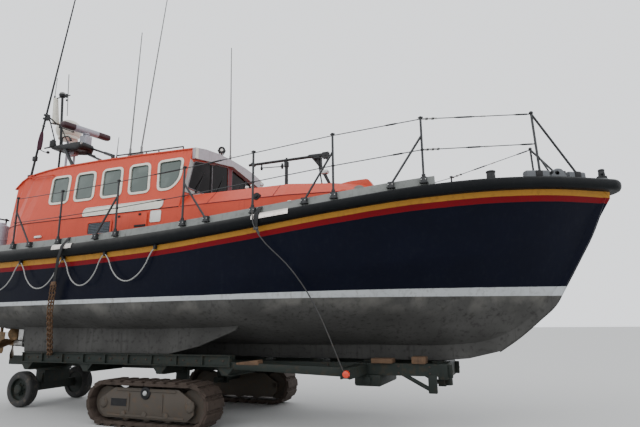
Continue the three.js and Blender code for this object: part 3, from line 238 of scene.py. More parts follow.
def add_lamp(name, place, target, size, power):
    data = bpy.data.lights.new(name, "AREA")
    data.shape = "DISK"
    data.size = size
    data.energy = power
    lamp = bpy.data.objects.new(name, data)
    bpy.context.scene.collection.objects.link(lamp)
    aim = Vector(target) - Vector(place)
    lamp.matrix_world = Matrix.Translation(place) @ aim.to_track_quat("-Z", "Y").to_matrix().to_4x4()


def set_world():
    world = bpy.data.worlds.new("overcast")
    world.use_nodes = True
    sky = world.node_tree.nodes["Background"]
    sky.inputs["Color"].default_value = (0.93, 0.95, 0.98, 1)
    sky.inputs["Strength"].default_value = 1.6
    bpy.context.scene.world = world


fresh()
add_floor()
set_world()
add_lamp("key", (-6, -22, 20), (0, 0, 2.5), 14.0, 1500)
add_lamp("ahead", (24, -10, 12), (2, 0, 2.5), 9.0, 500)

# %% [markdown]
# Weather shows on every outdoor surface in the same few ways, so each way is one node group with
# named inputs: patina varies a colour and lets dirt run down it, grain gives a height for bump,
# and band is a soft step between two heights. Each material places them with its own values.

# %% Shared node groups
COLOUR, NUMBER = "NodeSocketColor", "NodeSocketFloat"
BUMP_REACH = 0.01
COAT_ROUGHNESS = 0.12


def feed(tree, sockets, values):
    """Link or set inputs, found by name or number."""
    for key, value in values.items():
        if isinstance(value, bpy.types.NodeSocket):
            tree.links.new(value, sockets[key])
        else:
            sockets[key].default_value = value


def node(tree, kind, values=None, **settings):
    """Add a node, set its properties, and feed its inputs."""
    made = tree.nodes.new(kind)
    for key, value in settings.items():
        setattr(made, key, value)
    feed(tree, made.inputs, values or {})
    return made


def object_place(tree):
    return node(tree, "ShaderNodeTexCoord").outputs["Object"]


def noise(tree, place, scale, detail):
    return node(tree, "ShaderNodeTexNoise", {
        "Vector": place, "Scale": scale, "Detail": detail}).outputs["Fac"]


def mixed(tree, share, first, second):
    return node(tree, "ShaderNodeMix", {"Factor": share, 6: first, 7: second},
                data_type="RGBA").outputs[2]


def math_node(tree, operation, first, second=0.0, clamp=False):
    return node(tree, "ShaderNodeMath", {0: first, 1: second}, operation=operation,
                use_clamp=clamp).outputs[0]


def times(tree, first, second):
    return math_node(tree, "MULTIPLY", first, second)


def ramp(tree, value, low, high):
    """A smooth step from 0 to 1 between two values."""
    return node(tree, "ShaderNodeMapRange", {"Value": value, "From Min": low, "From Max": high},
                interpolation_type="SMOOTHSTEP").outputs[0]


def spread(tree, share, low, high):
    """A straight run from one value to another."""
    return node(tree, "ShaderNodeMapRange", {"Value": share, "To Min": low, "To Max": high}).outputs[0]


def wander(tree, place, scale, detail, reach):
    """Noise about zero, for an edge that isn't quite straight."""
    return times(tree, math_node(tree, "SUBTRACT", noise(tree, place, scale, detail), 0.5), reach)


def bumped(tree, height, strength, distance=BUMP_REACH):
    return node(tree, "ShaderNodeBump", {
        "Height": height, "Strength": strength, "Distance": distance}).outputs[0]


def group_node(tree, group, values):
    return node(tree, "ShaderNodeGroup", values, node_tree=group).outputs


def new_group(name, inputs, outputs):
    """An empty group. An input whose value is a tuple is a colour, any other a number."""
    group = bpy.data.node_groups.new(name, "ShaderNodeTree")
    for label, value in inputs.items():
        kind = COLOUR if isinstance(value, tuple) else NUMBER
        socket = group.interface.new_socket(name=label, in_out="INPUT", socket_type=kind)
        socket.default_value = value
    for label, kind in outputs:
        group.interface.new_socket(name=label, in_out="OUTPUT", socket_type=kind)
    enter = group.nodes.new("NodeGroupInput")
    leave = group.nodes.new("NodeGroupOutput")
    return group, enter.outputs, leave.inputs


def make_patina():
    tree, enter, leave = new_group(
        "patina", {"Colour": (0.5, 0.5, 0.5, 1), "Dirt": (0.1, 0.09, 0.08, 1), "Variation": 0.15,
                   "Streaks": 0.3, "Grime": 0.2}, [("Colour", COLOUR), ("Mask", NUMBER)])
    place = object_place(tree)
    clouds = noise(tree, place, 1.7, 5.0)
    drawn_down = node(tree, "ShaderNodeMapping", {"Vector": place, "Scale": (9.0, 9.0, 0.7)})
    runs = noise(tree, drawn_down.outputs[0], 2.4, 4.0)
    spots = noise(tree, place, 14.0, 6.0)
    streak = times(tree, ramp(tree, runs, 0.5, 0.78), ramp(tree, clouds, 0.35, 0.65))
    streak = times(tree, streak, enter["Streaks"])
    grime = times(tree, ramp(tree, spots, 0.5, 0.75), enter["Grime"])
    mask = math_node(tree, "ADD", streak, grime, clamp=True)
    tone = times(tree, math_node(tree, "SUBTRACT", clouds, 0.5), enter["Variation"])
    tone = math_node(tree, "ADD", times(tree, tone, 2.0), 1.0)
    varied = node(tree, "ShaderNodeHueSaturation", {"Color": enter["Colour"], "Value": tone})
    feed(tree, leave, {"Colour": mixed(tree, mask, varied.outputs["Color"], enter["Dirt"]),
                       "Mask": mask})
    return tree


def make_grain():
    tree, enter, leave = new_group("grain", {"Size": 60.0, "Waves": 0.3}, [("Height", NUMBER)])
    place = object_place(tree)
    fine = noise(tree, place, enter["Size"], 3.0)
    waves = times(tree, noise(tree, place, 1.3, 1.0), enter["Waves"])
    feed(tree, leave, {"Height": math_node(tree, "ADD", fine, waves)})
    return tree


PATINA = make_patina()
GRAIN = make_grain()


def new_material(name):
    material = bpy.data.materials.new(name)
    material.use_nodes = True
    return material, material.node_tree


def surface(tree, values):
    """Feed a material's shader."""
    feed(tree, tree.nodes["Principled BSDF"].inputs, values)


def patina(tree, colour, dirt, variation, streaks, grime):
    return group_node(tree, PATINA, {
        "Colour": (*colour, 1), "Dirt": (*dirt, 1), "Variation": variation, "Streaks": streaks,
        "Grime": grime})


def shade(tree, colour, mask, roughness, dirt_roughness, bump, grain=60.0, waves=0.3, metallic=0.0,
          coat=0.0, specular=0.5):
    """Wire a finish: a colour and a dirt mask, with roughness and bump."""
    height = group_node(tree, GRAIN, {"Size": grain, "Waves": waves})["Height"]
    surface(tree, {
        "Base Color": colour, "Roughness": spread(tree, mask, roughness, dirt_roughness),
        "Metallic": metallic, "Coat Weight": coat, "Coat Roughness": COAT_ROUGHNESS,
        "Specular IOR Level": specular, "Normal": bumped(tree, height, bump)})


def finish(name, colour, dirt, variation, streaks, grime, *look, **more):
    """A material from patina's values, followed by those of shade."""
    material, tree = new_material(name)
    out = patina(tree, colour, dirt, variation, streaks, grime)
    shade(tree, out["Colour"], out["Mask"], *look, **more)
    return material


print("node groups:", [group.name for group in bpy.data.node_groups])

# %% [markdown]
# The finishes are named for what they cover. Their colours come from the photograph: a
# red-orange superstructure faded by the sun, pale grey rails and visor, dark grey tubes, black
# rubber, and the dull greens and browns of a carriage that is driven into the sea, darkened
# further by painted shade for the deep shadow that the carriage stands in.

# %% Finishes
# name, colour, dirt, variation, streaks, grime, roughness, roughness where dirty, bump, grain
ORANGE = finish("superstructure_orange", (0.51, 0.068, 0.037), (0.24, 0.034, 0.024), 0.1, 0.35, 0.12,
                0.42, 0.6, 0.06, 30, waves=1.5, specular=0.16)
DECK = finish("deck_grit", (0.16, 0.17, 0.17), (0.06, 0.055, 0.05), 0.25, 0.0, 0.5, 0.85, 0.95, 0.35, 260)
PALE = finish("pale_paint", (0.30, 0.31, 0.30), (0.10, 0.10, 0.085), 0.18, 0.4, 0.3, 0.5, 0.75, 0.1, 90)
TOE_RAIL = finish("toe_rail_grey", (0.17, 0.18, 0.17), (0.06, 0.06, 0.05), 0.22, 0.5, 0.4, 0.5, 0.75,
                  0.1, 90)
HOOD = finish("hood_lavender", (0.34, 0.32, 0.35), (0.14, 0.11, 0.12), 0.12, 0.4, 0.25, 0.45, 0.7, 0.06,
              60)
CREAM = finish("frame_cream", (0.62, 0.60, 0.52), (0.22, 0.18, 0.13), 0.1, 0.35, 0.2, 0.4, 0.6, 0.06, 80)
RUBBER = finish("fender_rubber", (0.004, 0.005, 0.006), (0.02, 0.02, 0.02), 0.3, 0.2, 0.2, 0.5, 0.75,
                0.25, 120, specular=0.15)
RAIL = finish("rail_grey", (0.03, 0.032, 0.034), (0.09, 0.08, 0.07), 0.2, 0.2, 0.2, 0.42, 0.6, 0.08, 150,
              metallic=0.2, specular=0.35)
STEEL = finish("bare_steel", (0.38, 0.38, 0.37), (0.14, 0.09, 0.06), 0.15, 0.25, 0.3, 0.32, 0.6, 0.12,
               180, metallic=0.9)
BRONZE = finish("stern_bronze", (0.15, 0.095, 0.05), (0.05, 0.07, 0.055), 0.25, 0.2, 0.45, 0.35, 0.7,
                0.15, 90, metallic=0.85)
WHITE = finish("gear_white", (0.66, 0.66, 0.62), (0.25, 0.22, 0.17), 0.08, 0.25, 0.12, 0.35, 0.55, 0.04,
               60, coat=0.2)
BLACK = finish("gear_black", (0.012, 0.012, 0.013), (0.05, 0.047, 0.045), 0.2, 0.1, 0.25, 0.5, 0.7, 0.1,
               160, specular=0.2)
# The carriage and track colours are darker than their own paint: painted shade for the deep shadow the
# carriage stands in.
CARRIAGE_WITH_PAINTED_SHADE = finish("carriage_green_painted_shade", (0.013, 0.018, 0.015), (0.05, 0.035, 0.022), 0.3, 0.45, 0.5, 0.6,
                  0.9, 0.25, 120, specular=0.25)
TRACK_WITH_PAINTED_SHADE = finish("track_brown_painted_shade", (0.055, 0.040, 0.032), (0.02, 0.016, 0.013), 0.35, 0.4, 0.6, 0.75, 0.95,
               0.4, 90, metallic=0.2, specular=0.25)
GALVANISED = finish("galvanised", (0.42, 0.43, 0.43), (0.16, 0.13, 0.10), 0.25, 0.3, 0.35, 0.45, 0.7,
                    0.1, 70, metallic=0.7)
TYRE = finish("tyre_rubber", (0.022, 0.022, 0.022), (0.11, 0.09, 0.07), 0.3, 0.1, 0.6, 0.8, 0.95, 0.3, 90)
DARK_RED = finish("dark_red", (0.12, 0.012, 0.02), (0.05, 0.03, 0.03), 0.15, 0.2, 0.2, 0.45, 0.6, 0.05,
                  specular=0.2)
LAVENDER = finish("radar_grey", (0.30, 0.30, 0.34), (0.12, 0.11, 0.11), 0.1, 0.3, 0.2, 0.4, 0.6, 0.05)


def make_rope_finish():
    material, tree = new_material("laid_rope")
    strands = node(tree, "ShaderNodeTexWave", {
        "Vector": object_place(tree), "Scale": 22.0, "Distortion": 1.0, "Detail": 2.0},
        bands_direction="DIAGONAL").outputs["Fac"]
    # The rope is painted darker in the grooves between its strands, where the bump is low: painted shade.
    colour = mixed(tree, strands, (0.17, 0.17, 0.165, 1), (0.36, 0.36, 0.345, 1))
    surface(tree, {"Base Color": colour, "Roughness": 0.85, "Normal": bumped(tree, strands, 0.5, 0.003)})
    return material


def make_glass(name, colour, specular):
    """Dark glass that hides the unlit cabin, with a faint bloom of salt on it."""
    material, tree = new_material(name)
    salt = ramp(tree, noise(tree, object_place(tree), 3.0, 6.0), 0.45, 0.8)
    salty = [c * 1.5 + 0.01 for c in colour]
    surface(tree, {"Base Color": mixed(tree, salt, (*colour, 1), (*salty, 1)),
                   "Roughness": spread(tree, salt, 0.08, 0.20), "Specular IOR Level": specular})
    return material


ROPE = make_rope_finish()
SIDE_GLASS = make_glass("side_glass", (0.07, 0.09, 0.08), 0.4)
DARK_GLASS = make_glass("windscreen_glass", (0.004, 0.0025, 0.003), 0.07)
for rope in grab_lines:
    rope.data.materials.append(ROPE)
print("finishes:", len(bpy.data.materials))

# %% [markdown]
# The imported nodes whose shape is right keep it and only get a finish. A table pairs each finish
# with the nodes that wear it, so nothing is left in its plain packed colour. A name that ends in
# a line stands for the starboard node and the port one.

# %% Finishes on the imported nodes
NODE_FINISHES = [
    (ORANGE, "cabin_roof roof_brow_aft cabin_lower cabin_side_ cabin_front cabin_aft aft_door"),
    (ORANGE, "forward_trunk hatch_lid"),
    (DECK, "deck"),
    (TOE_RAIL, "toe_rail_"),
    (HOOD, "windscreen_visor"),
    (SIDE_GLASS, "side_glass_"),
    (DARK_GLASS, "windscreen_glass"),
    (RUBBER, "fender_belt"),
    (RAIL, "guard_rail_ mast_frame light_mast signal_mast roof_rail_ searchlight davit_post"),
    (RAIL, "davit_boom bollard_ bow_post"),
    (WHITE, "satellite_dome whip_aerials_side whip_aerial_front"),
    (LAVENDER, "radar_scanner"),
    (BRONZE, "propeller_ rudder_"),
    (STEEL, "shaft_line_ engine_block lashing_aft_ lashing_forward_"),
    (CARRIAGE_WITH_PAINTED_SHADE, "carriage_frame steering_frame"),
    (TRACK_WITH_PAINTED_SHADE, "track_loop_ track_bogie_"),
    (TYRE, "carriage_wheel_"),
]


def wear(piece, *materials):
    piece.data.materials.clear()
    for material in materials:
        piece.data.materials.append(material)


for material, names in NODE_FINISHES:
    for name in names.split():
        for end in ("starboard", "port") if name.endswith("_") else ("",):
            wear(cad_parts[name + end], material)
print("finishes on the packed nodes:", len(NODE_FINISHES))

# %% [markdown]
# Modelling by hand in Blender goes primitive, edit mode, operators, modifiers. These helpers keep
# that order: each starts with nothing selected, adds a primitive at its place, and leaves one
# object whose place is in its mesh.

# %% Modelling helpers


def settle(piece):
    """Put the object's place into its mesh."""
    pick(piece)
    bpy.ops.object.transform_apply(location=True, rotation=True, scale=True)
    return piece


def select_all(choice="SELECT"):
    bpy.ops.mesh.select_all(action=choice)


def edit_all(piece):
    pick(piece)
    bpy.ops.object.mode_set(mode="EDIT")
    select_all()


def done_editing():
    bpy.ops.object.mode_set(mode="OBJECT")


def face_outwards():
    """Turn every face of the mesh outwards."""
    select_all()
    bpy.ops.mesh.normals_make_consistent(inside=False)


def select_rim():
    """Select only the edges of openings."""
    select_all("DESELECT")
    bpy.ops.mesh.select_non_manifold(extend=False, use_boundary=True)


def apply_modifier(piece, kind, **settings):
    pick(piece)
    modifier = piece.modifiers.new(kind.lower(), kind)
    for key, value in settings.items():
        setattr(modifier, key, value)
    bpy.ops.object.modifier_apply(modifier=modifier.name)


def smooth(piece, angle=35):
    pick(piece)
    bpy.ops.object.shade_smooth_by_angle(angle=math.radians(angle))
    return piece


def block(low, high, edge=0.0, segments=2):
    """A box between two corners, with its edges rounded."""
    fresh()
    middle = [(a + b) / 2 for a, b in zip(low, high)]
    bpy.ops.mesh.primitive_cube_add(size=1, location=middle)
    piece = bpy.context.object
    piece.scale = [b - a for a, b in zip(low, high)]
    settle(piece)
    if edge:
        edit_all(piece)
        bpy.ops.mesh.bevel(offset=edge, segments=segments, affect="EDGES")
        done_editing()
    return piece


def slab(xs, y, half, zs, *shape):
    """A block that is as wide on both sides of y."""
    return block((xs[0], y - half, zs[0]), (xs[1], y + half, zs[1]), *shape)


def rod(start, end, radius, sides=12, end_radius=None, edge=0.0):
    """A round bar between two points, tapered where end_radius is given."""
    fresh()
    start, end = Vector(start), Vector(end)
    along = end - start
    turn = along.to_track_quat("Z", "Y").to_euler()
    bpy.ops.mesh.primitive_cone_add(
        vertices=sides, radius1=radius, radius2=radius if end_radius is None else end_radius,
        depth=along.length, location=(start + end) / 2, rotation=turn)
    piece = settle(bpy.context.object)
    if edge:
        edit_all(piece)
        select_all("DESELECT")
        done_editing()
        for line in piece.data.edges:
            a, b = (piece.data.vertices[i].co for i in line.vertices)
            line.select = abs((b - a).normalized().dot(along.normalized())) < 0.2
        bpy.ops.object.mode_set(mode="EDIT")
        bpy.ops.mesh.bevel(offset=edge, segments=2, affect="EDGES")
        done_editing()
    return piece


def upright(x, y, low, high, *shape, **more):
    """A round bar that stands at one place."""
    return rod((x, y, low), (x, y, high), *shape, **more)


def crosswise(x, z, first, last, *shape, **more):
    """A round bar that lies across the boat."""
    return rod((x, first, z), (x, last, z), *shape, **more)


def ball(centre, radius, scale=(1, 1, 1), segments=16, rings=10):
    fresh()
    bpy.ops.mesh.primitive_uv_sphere_add(
        segments=segments, ring_count=rings, radius=radius, location=centre)
    piece = bpy.context.object
    piece.scale = scale
    return settle(piece)


def pipe(points, radius, closed=False, sides=2, bend="AUTO", resolution=4):
    """A round tube along a smooth line, turned into a mesh."""
    return thickened(smooth_curve("pipe", points, resolution, closed, bend), radius, sides)


def lofted(rows):
    """A grid primitive whose vertices are laid on rows of points, one row for each station."""
    fresh()
    across, along = len(rows[0]), len(rows)
    bpy.ops.mesh.primitive_grid_add(x_subdivisions=across - 1, y_subdivisions=along - 1, size=1)
    piece = bpy.context.object
    for i, vertex in enumerate(piece.data.vertices):
        vertex.co = rows[i // across][i % across]
    return piece


def skinned(rings):
    """Rings of points lofted into one skin, closed round and capped at both ends."""
    piece = lofted([[*ring, ring[0]] for ring in rings])
    edit_all(piece)
    bpy.ops.mesh.remove_doubles(threshold=1e-5)
    select_rim()
    bpy.ops.mesh.edge_face_add()
    face_outwards()
    done_editing()
    return piece


def turns(count):
    """Angles in equal steps, once round."""
    return [i * math.tau / count for i in range(count)]


def laid_flat(outline, axis, level=0.0):
    """A round primitive whose rim is laid on an outline, square to an axis."""
    fresh()
    bpy.ops.mesh.primitive_circle_add(vertices=len(outline), fill_type="NGON", radius=1)
    piece = bpy.context.object
    for vertex, (a, b) in zip(piece.data.vertices, outline):
        vertex.co = {"x": (level, a, b), "y": (a, level, b), "z": (a, b, level)}[axis]
    return piece


def extrude(axis, reach):
    push = [reach if name == axis else 0 for name in "xyz"]
    bpy.ops.mesh.extrude_region_move(TRANSFORM_OT_translate={"value": push})
    face_outwards()


def plate(outline, axis, low, high, edge=0.0, segments=2):
    """A flat plate: an outline laid flat and extruded, with its edges rounded."""
    piece = laid_flat(outline, axis, low)
    edit_all(piece)
    extrude(axis, high - low)
    if edge:
        bpy.ops.mesh.bevel(offset=edge, segments=segments, affect="EDGES")
    done_editing()
    return piece


def joined(pieces):
    """One piece of a list of them; a single piece is left as it is."""
    if not isinstance(pieces, list):
        return pieces
    pick(pieces[0])
    for piece in pieces:
        piece.select_set(True)
    if len(pieces) > 1:
        bpy.ops.object.join()
    return bpy.context.object


def copied(piece, mirror=False):
    """A copy with its own mesh, mirrored to the other side of the boat where that is asked."""
    twin = piece.copy()
    twin.data = piece.data.copy()
    bpy.context.scene.collection.objects.link(twin)
    if mirror:
        twin.scale = (1, -1, 1)
        settle(twin)
        edit_all(twin)
        bpy.ops.mesh.flip_normals()
        done_editing()
    return twin


def fitted(piece, name, slot, *materials, body=BOAT, replaces=(), angle=35):
    """Join and name a finished piece, dress it and let it ride on its body."""
    piece = joined(piece)
    piece.name = name
    piece.data.name = name
    wear(piece, *materials)
    smooth(piece, angle)
    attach(piece, body)
    if replaces:
        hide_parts(*replaces)
    return piece


def both_sides(piece, name, slot, material, replaces=()):
    """The starboard piece and its port twin."""
    piece = joined(piece)
    for side, one in (("starboard", piece), ("port", copied(piece, mirror=True))):
        nodes = [f"{node_name}_{side}" for node_name in replaces]
        fitted(one, f"{name}_{side}", slot, material, replaces=nodes)


print("helpers ready")

# %% [markdown]
# The hull skin is what the eye rests on, so it is a fine surface: a grid laid on close stations of
# the hull lines, creased at the chine and the knuckle, subdivided, mirrored, closed at the stern
# and the deck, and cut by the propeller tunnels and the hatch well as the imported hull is.

# %% Hull skin
DECK_THICK = 0.04
DECK_CAMBER = 0.07
SKIN_STATIONS = 46
SKIN_CLEAR = 0.0005
TUNNEL_Y, TUNNEL_AFT_RADIUS, TUNNEL_FRONT_RADIUS = 0.72, 0.37, 0.25


def skin_row(x):
    def at(column):
        return reading(x, column)

    def between(a, b, share):
        return at(a) * (1 - share) + at(b) * share

    bulge = 0.02 * at(BILGE_Y)
    row = [
        (0.0, at(CENTRE_Z)),
        (at(CHINE_Y) * 0.5, between(CENTRE_Z, CHINE_Z, 0.42)),
        (at(CHINE_Y), at(CHINE_Z)),
        (between(CHINE_Y, BILGE_Y, 0.55) + bulge, between(CHINE_Z, BILGE_Z, 0.45)),
        (at(BILGE_Y), at(BILGE_Z)),
        (between(BILGE_Y, KNUCKLE_Y, 0.5), between(BILGE_Z, KNUCKLE_Z, 0.5)),
        (at(KNUCKLE_Y), at(KNUCKLE_Z)),
        (between(KNUCKLE_Y, DECK_Y, 0.22), between(KNUCKLE_Z, DECK_Z, 0.25)),
        (between(KNUCKLE_Y, DECK_Y, 0.45), between(KNUCKLE_Z, DECK_Z, 0.5)),
        (between(KNUCKLE_Y, DECK_Y, 0.725), between(KNUCKLE_Z, DECK_Z, 0.75)),
        (at(DECK_Y), at(DECK_Z) - DECK_THICK - SKIN_CLEAR),
    ]
    return [(x, -y, z) for y, z in row]


CHINE_POINT, KNUCKLE_POINT, DECK_POINT = 2, 6, 10


def skin_stations():
    span = BOW_X - TRANSOM_X
    return [TRANSOM_X + span * (1 - (1 - i / SKIN_STATIONS) ** 1.15) for i in range(SKIN_STATIONS + 1)]


def crease_lines(piece, across):
    """Crease the edges that run along the chine, the knuckle, the deck edge and the transom."""
    creases = {CHINE_POINT: 0.75, KNUCKLE_POINT: 0.55, DECK_POINT: 1.0, 0: 1.0}
    layer = piece.data.attributes.new("crease_edge", "FLOAT", "EDGE")
    for line in piece.data.edges:
        a, b = line.vertices
        if a % across == b % across:
            layer.data[line.index].value = creases.get(a % across, 0.0)
        if a // across == b // across and a // across in (0, SKIN_STATIONS):
            layer.data[line.index].value = 1.0


def close_openings(piece):
    """Fill the stern and the deck opening: select the rim and bridge it with flat faces."""
    edit_all(piece)
    bpy.ops.mesh.remove_doubles(threshold=0.0004)
    select_rim()
    bpy.ops.mesh.fill(use_beauty=True)
    face_outwards()
    done_editing()


def cut_by(piece, cutter):
    apply_modifier(piece, "BOOLEAN", operation="DIFFERENCE", object=cutter, solver="EXACT")
    bpy.data.objects.remove(cutter, do_unlink=True)


def make_hull_skin():
    rows = [skin_row(x) for x in skin_stations()]
    piece = lofted(rows)
    crease_lines(piece, len(rows[0]))
    apply_modifier(piece, "SUBSURF", levels=2, render_levels=2)
    apply_modifier(piece, "MIRROR", use_axis=(False, True, False), merge_threshold=0.002)
    close_openings(piece)
    for side in (-1, 1):
        aft, front = (-6.0, side * TUNNEL_Y, 1.25), (-3.3, side * TUNNEL_Y, 1.03)
        cut_by(piece, rod(aft, front, TUNNEL_AFT_RADIUS, 40, TUNNEL_FRONT_RADIUS))
    cut_by(piece, slab((2.82, 3.34), 0, 0.26, (2.9, 4.0)))
    return piece


hull_skin = make_hull_skin()
print("hull skin:", len(hull_skin.data.polygons), "faces")

# %% [markdown]
# The topsides are painted in bands that follow two different lines: the yellow and red stripes
# follow the sheer, and the white boot-top keeps its height above the ground. The depth below the
# yellow stripe's lower edge is stored on the skin as an attribute, and the height is its own Z.

# %% Hull paint
STRIPE_DROP = [
    # x, how far below the deck edge the fender and the yellow stripe end
    (-5.70, 0.199, 0.300), (-3.44, 0.204, 0.292), (-2.06, 0.206, 0.290), (-1.24, 0.208, 0.289),
    (-0.86, 0.207, 0.288), (-0.39, 0.200, 0.278), (0.05, 0.189, 0.265), (0.80, 0.175, 0.249),
    (1.34, 0.160, 0.232), (1.93, 0.147, 0.217), (2.50, 0.146, 0.211), (3.00, 0.150, 0.214),
    (3.49, 0.158, 0.223), (4.46, 0.160, 0.227), (5.70, 0.152, 0.227),
]
RED_WIDTH = 0.076
TRANSOM_YELLOW = deck_edge(TRANSOM_X) - STRIPE_DROP[0][2]
WELL_LOW, WELL_HIGH = Vector((2.81, -0.27, 2.85)), Vector((3.35, 0.27, 3.40))
BOOT_LOW = 1.862
BOOT_HIGH = 1.93
BOOT_RISE = 0.012
STRIPE_SOFTNESS = 0.0035


def stripe_drop(x, column):
    for low, high in zip(STRIPE_DROP, STRIPE_DROP[1:]):
        if x <= high[0]:
            share = max(0.0, (x - low[0]) / (high[0] - low[0]))
            return low[column] + (high[column] - low[column]) * share
    return STRIPE_DROP[-1][column]


def mark_sheer(piece):
    layer = piece.data.attributes.new("below_sheer", "FLOAT", "POINT")
    for vertex in piece.data.vertices:
        x = min(max(vertex.co.x, TRANSOM_X), BOW_X)
        depth = deck_edge(x) - vertex.co.z - stripe_drop(x, 2)
        layer.data[vertex.index].value = depth


def make_hull_paint():
    material, tree = new_material("hull_paint")
    place = object_place(tree)
    parts = node(tree, "ShaderNodeSeparateXYZ", {0: place}).outputs
    depth = node(tree, "ShaderNodeAttribute", attribute_name="below_sheer").outputs["Fac"]
    below = math_node(tree, "SUBTRACT", TRANSOM_YELLOW, parts["Z"])
    on_transom = math_node(tree, "LESS_THAN", parts["X"], TRANSOM_X + 0.004)
    depth = node(tree, "ShaderNodeMix", {"Factor": on_transom, 2: depth, 3: below}).outputs[0]
    ragged = wander(tree, place, 7.0, 4.0, 0.006)
    depth = math_node(tree, "ADD", depth, ragged)
    height = math_node(tree, "ADD", parts["Z"], ragged)

    def past(value, line):
        beyond = math_node(tree, "SUBTRACT", value, line)
        return ramp(tree, beyond, -STRIPE_SOFTNESS, STRIPE_SOFTNESS)

    navy = patina(tree, (0.0015, 0.0025, 0.009), (0.008, 0.010, 0.016), 0.25, 0.3, 0.2)
    yellow = patina(tree, (0.36, 0.175, 0.028), (0.12, 0.06, 0.02), 0.12, 0.4, 0.25)
    red = patina(tree, (0.15, 0.003, 0.007), (0.05, 0.01, 0.012), 0.15, 0.3, 0.2)
    white = patina(tree, (0.42, 0.44, 0.45), (0.2, 0.19, 0.17), 0.12, 0.6, 0.4)
    bottom = patina(tree, (0.064, 0.063, 0.060), (0.024, 0.023, 0.022), 0.55, 0.55, 0.6)
    colour = mixed(tree, past(depth, RED_WIDTH), red["Colour"], navy["Colour"])
    colour = mixed(tree, past(depth, 0.0), yellow["Colour"], colour)
    rise = times(tree, math_node(tree, "MAXIMUM", parts["X"], 0.0), BOOT_RISE)
    high_line = math_node(tree, "ADD", rise, BOOT_HIGH)
    colour = mixed(tree, past(height, high_line), white["Colour"], colour)
    above_boot = past(height, BOOT_LOW)
    colour = mixed(tree, above_boot, bottom["Colour"], colour)

    scum = ramp(tree, height, BOOT_LOW - 0.32, BOOT_LOW - 0.02)
    scum = times(tree, scum, ramp(tree, noise(tree, place, 2.2, 7.0), 0.42, 0.62))
    scum = times(tree, times(tree, scum, math_node(tree, "SUBTRACT", 1.0, above_boot)), 0.55)
    colour = mixed(tree, scum, colour, (0.16, 0.155, 0.14, 1))

    gloss = spread(tree, above_boot, 0.72, 0.3)
    grain = group_node(tree, GRAIN, {"Size": 8.0, "Waves": 6.0})["Height"]
    surface(tree, {
        "Base Color": colour, "Roughness": math_node(tree, "ADD", gloss, times(tree, navy["Mask"], 0.25)),
        "Specular IOR Level": 0.1, "Normal": bumped(tree, grain, 0.12)})
    return material


mark_sheer(hull_skin)
HULL_PAINT = make_hull_paint()
fitted(hull_skin, "hull_skin", "hull_paint", HULL_PAINT, DECK, replaces=["hull"], angle=28)
for face in hull_skin.data.polygons:
    if all(low < value < high for low, value, high in zip(WELL_LOW, face.center, WELL_HIGH)):
        face.material_index = 1
print("hull painted")

# %% [markdown]
# Under the skin stand the keel with its stem, and two bilge keels that guard the propellers. They
# are flat bars cut to an outline and bevelled, as they are on the real hull, so each is a plate
# extruded from its profile. A half-round band in the hull's paint covers the front of the stem.

# %% Keel, stem and bilge keels
KEEL_OUTLINE = [
    (-5.2, 0.99), (3.131, 0.95), (3.568, 0.99), (3.996, 1.095), (4.284, 1.293), (4.572, 1.535),
    (4.796, 1.739), (4.907, 1.916), (5.196, 2.409), (5.354, 2.688), (5.54, 3.10), (5.59, 3.21),
    (5.40, 3.21), (4.70, 2.50), (4.30, 2.0), (3.50, 1.50), (-4.9, 1.50),
]
KEEL_HALF = 0.075
STEM_FIRST, STEM_LAST = 3, 11
BILGE_OUTLINE = [
    (-4.2, 1.64), (-4.12, 1.0603), (-0.9, 1.0603), (-0.35, 1.18), (0.3, 1.42), (0.42, 1.60),
]
BILGE_LOW, BILGE_HIGH = -1.222, -1.162


def make_keel():
    keel = plate(KEEL_OUTLINE, "y", -KEEL_HALF, KEEL_HALF, edge=0.02)
    stem = [(x - 0.006, 0, z) for x, z in KEEL_OUTLINE[STEM_FIRST:STEM_LAST]]
    band = pipe(stem, 0.018)
    mark_sheer(keel)
    fitted(keel, "keel_and_stem", "hull_paint", HULL_PAINT)
    fitted(band, "stem_band", "steel", HULL_PAINT)
    mark_sheer(band)


make_keel()
bilge_keel = plate(BILGE_OUTLINE, "y", BILGE_LOW, BILGE_HIGH, edge=0.01)
mark_sheer(bilge_keel)
both_sides(bilge_keel, "bilge_keel", "hull_paint", HULL_PAINT)
print("keels fitted")

# %% [markdown]
# The fender is a hollow rubber section bolted all round the deck edge. It is swept by hand: one
# rounded section laid along the sheer and round the bow, then smoothed, and shallower forward, so
# its bottom edge stays parallel to the painted stripes. A straight length crosses the transom.

# %% Fender
FENDER_OUT, FENDER_DEPTH = 0.075, 0.199
NOSE_RADIUS, NOSE_STEPS = 0.25, 14
HALF_LENGTH = 5.8
BEND_X = 5.46
BOW_DECK_Z = STATIONS[-1][DECK_Z]
FENDER_SECTION = [
    # out, up from the deck edge
    (-0.095, -0.004), (0.02, -0.003), (0.052, -0.012), (0.072, -0.045), (0.075, -0.09),
    (0.071, -0.135), (0.052, -0.178), (0.02, -0.197), (-0.005, -0.199), (-0.095, -0.199),
]
STERN_HALF, STERN_STEPS = 1.69, 24
STERN_SECTION = [(-0.01, 0.0), (0.038, 0.0), (0.054, 0.08), (0.056, 0.92), (0.040, 1.0), (-0.01, 1.0)]


def edge_at(x):
    """A place on the starboard deck edge: x, y, z and the outward side."""
    step = 0.02
    slope = (deck_half(min(x + step, 5.6)) - deck_half(x)) / step
    scale = math.hypot(1, slope)
    return (x, -deck_half(x), deck_edge(x), -slope / scale, -1 / scale)


def half_belt_path():
    """From the starboard quarter to the tip of the bow."""
    path = [edge_at(x) for x in skin_stations() if x < BEND_X]
    centre = HALF_LENGTH - FENDER_OUT - NOSE_RADIUS
    start = math.atan2(path[-1][4], path[-1][3])
    for i in range(1, NOSE_STEPS + 1):
        angle = start * (1 - i / NOSE_STEPS)
        path.append((centre + NOSE_RADIUS * math.cos(angle), NOSE_RADIUS * math.sin(angle), BOW_DECK_Z,
                     math.cos(angle), math.sin(angle)))
    return path


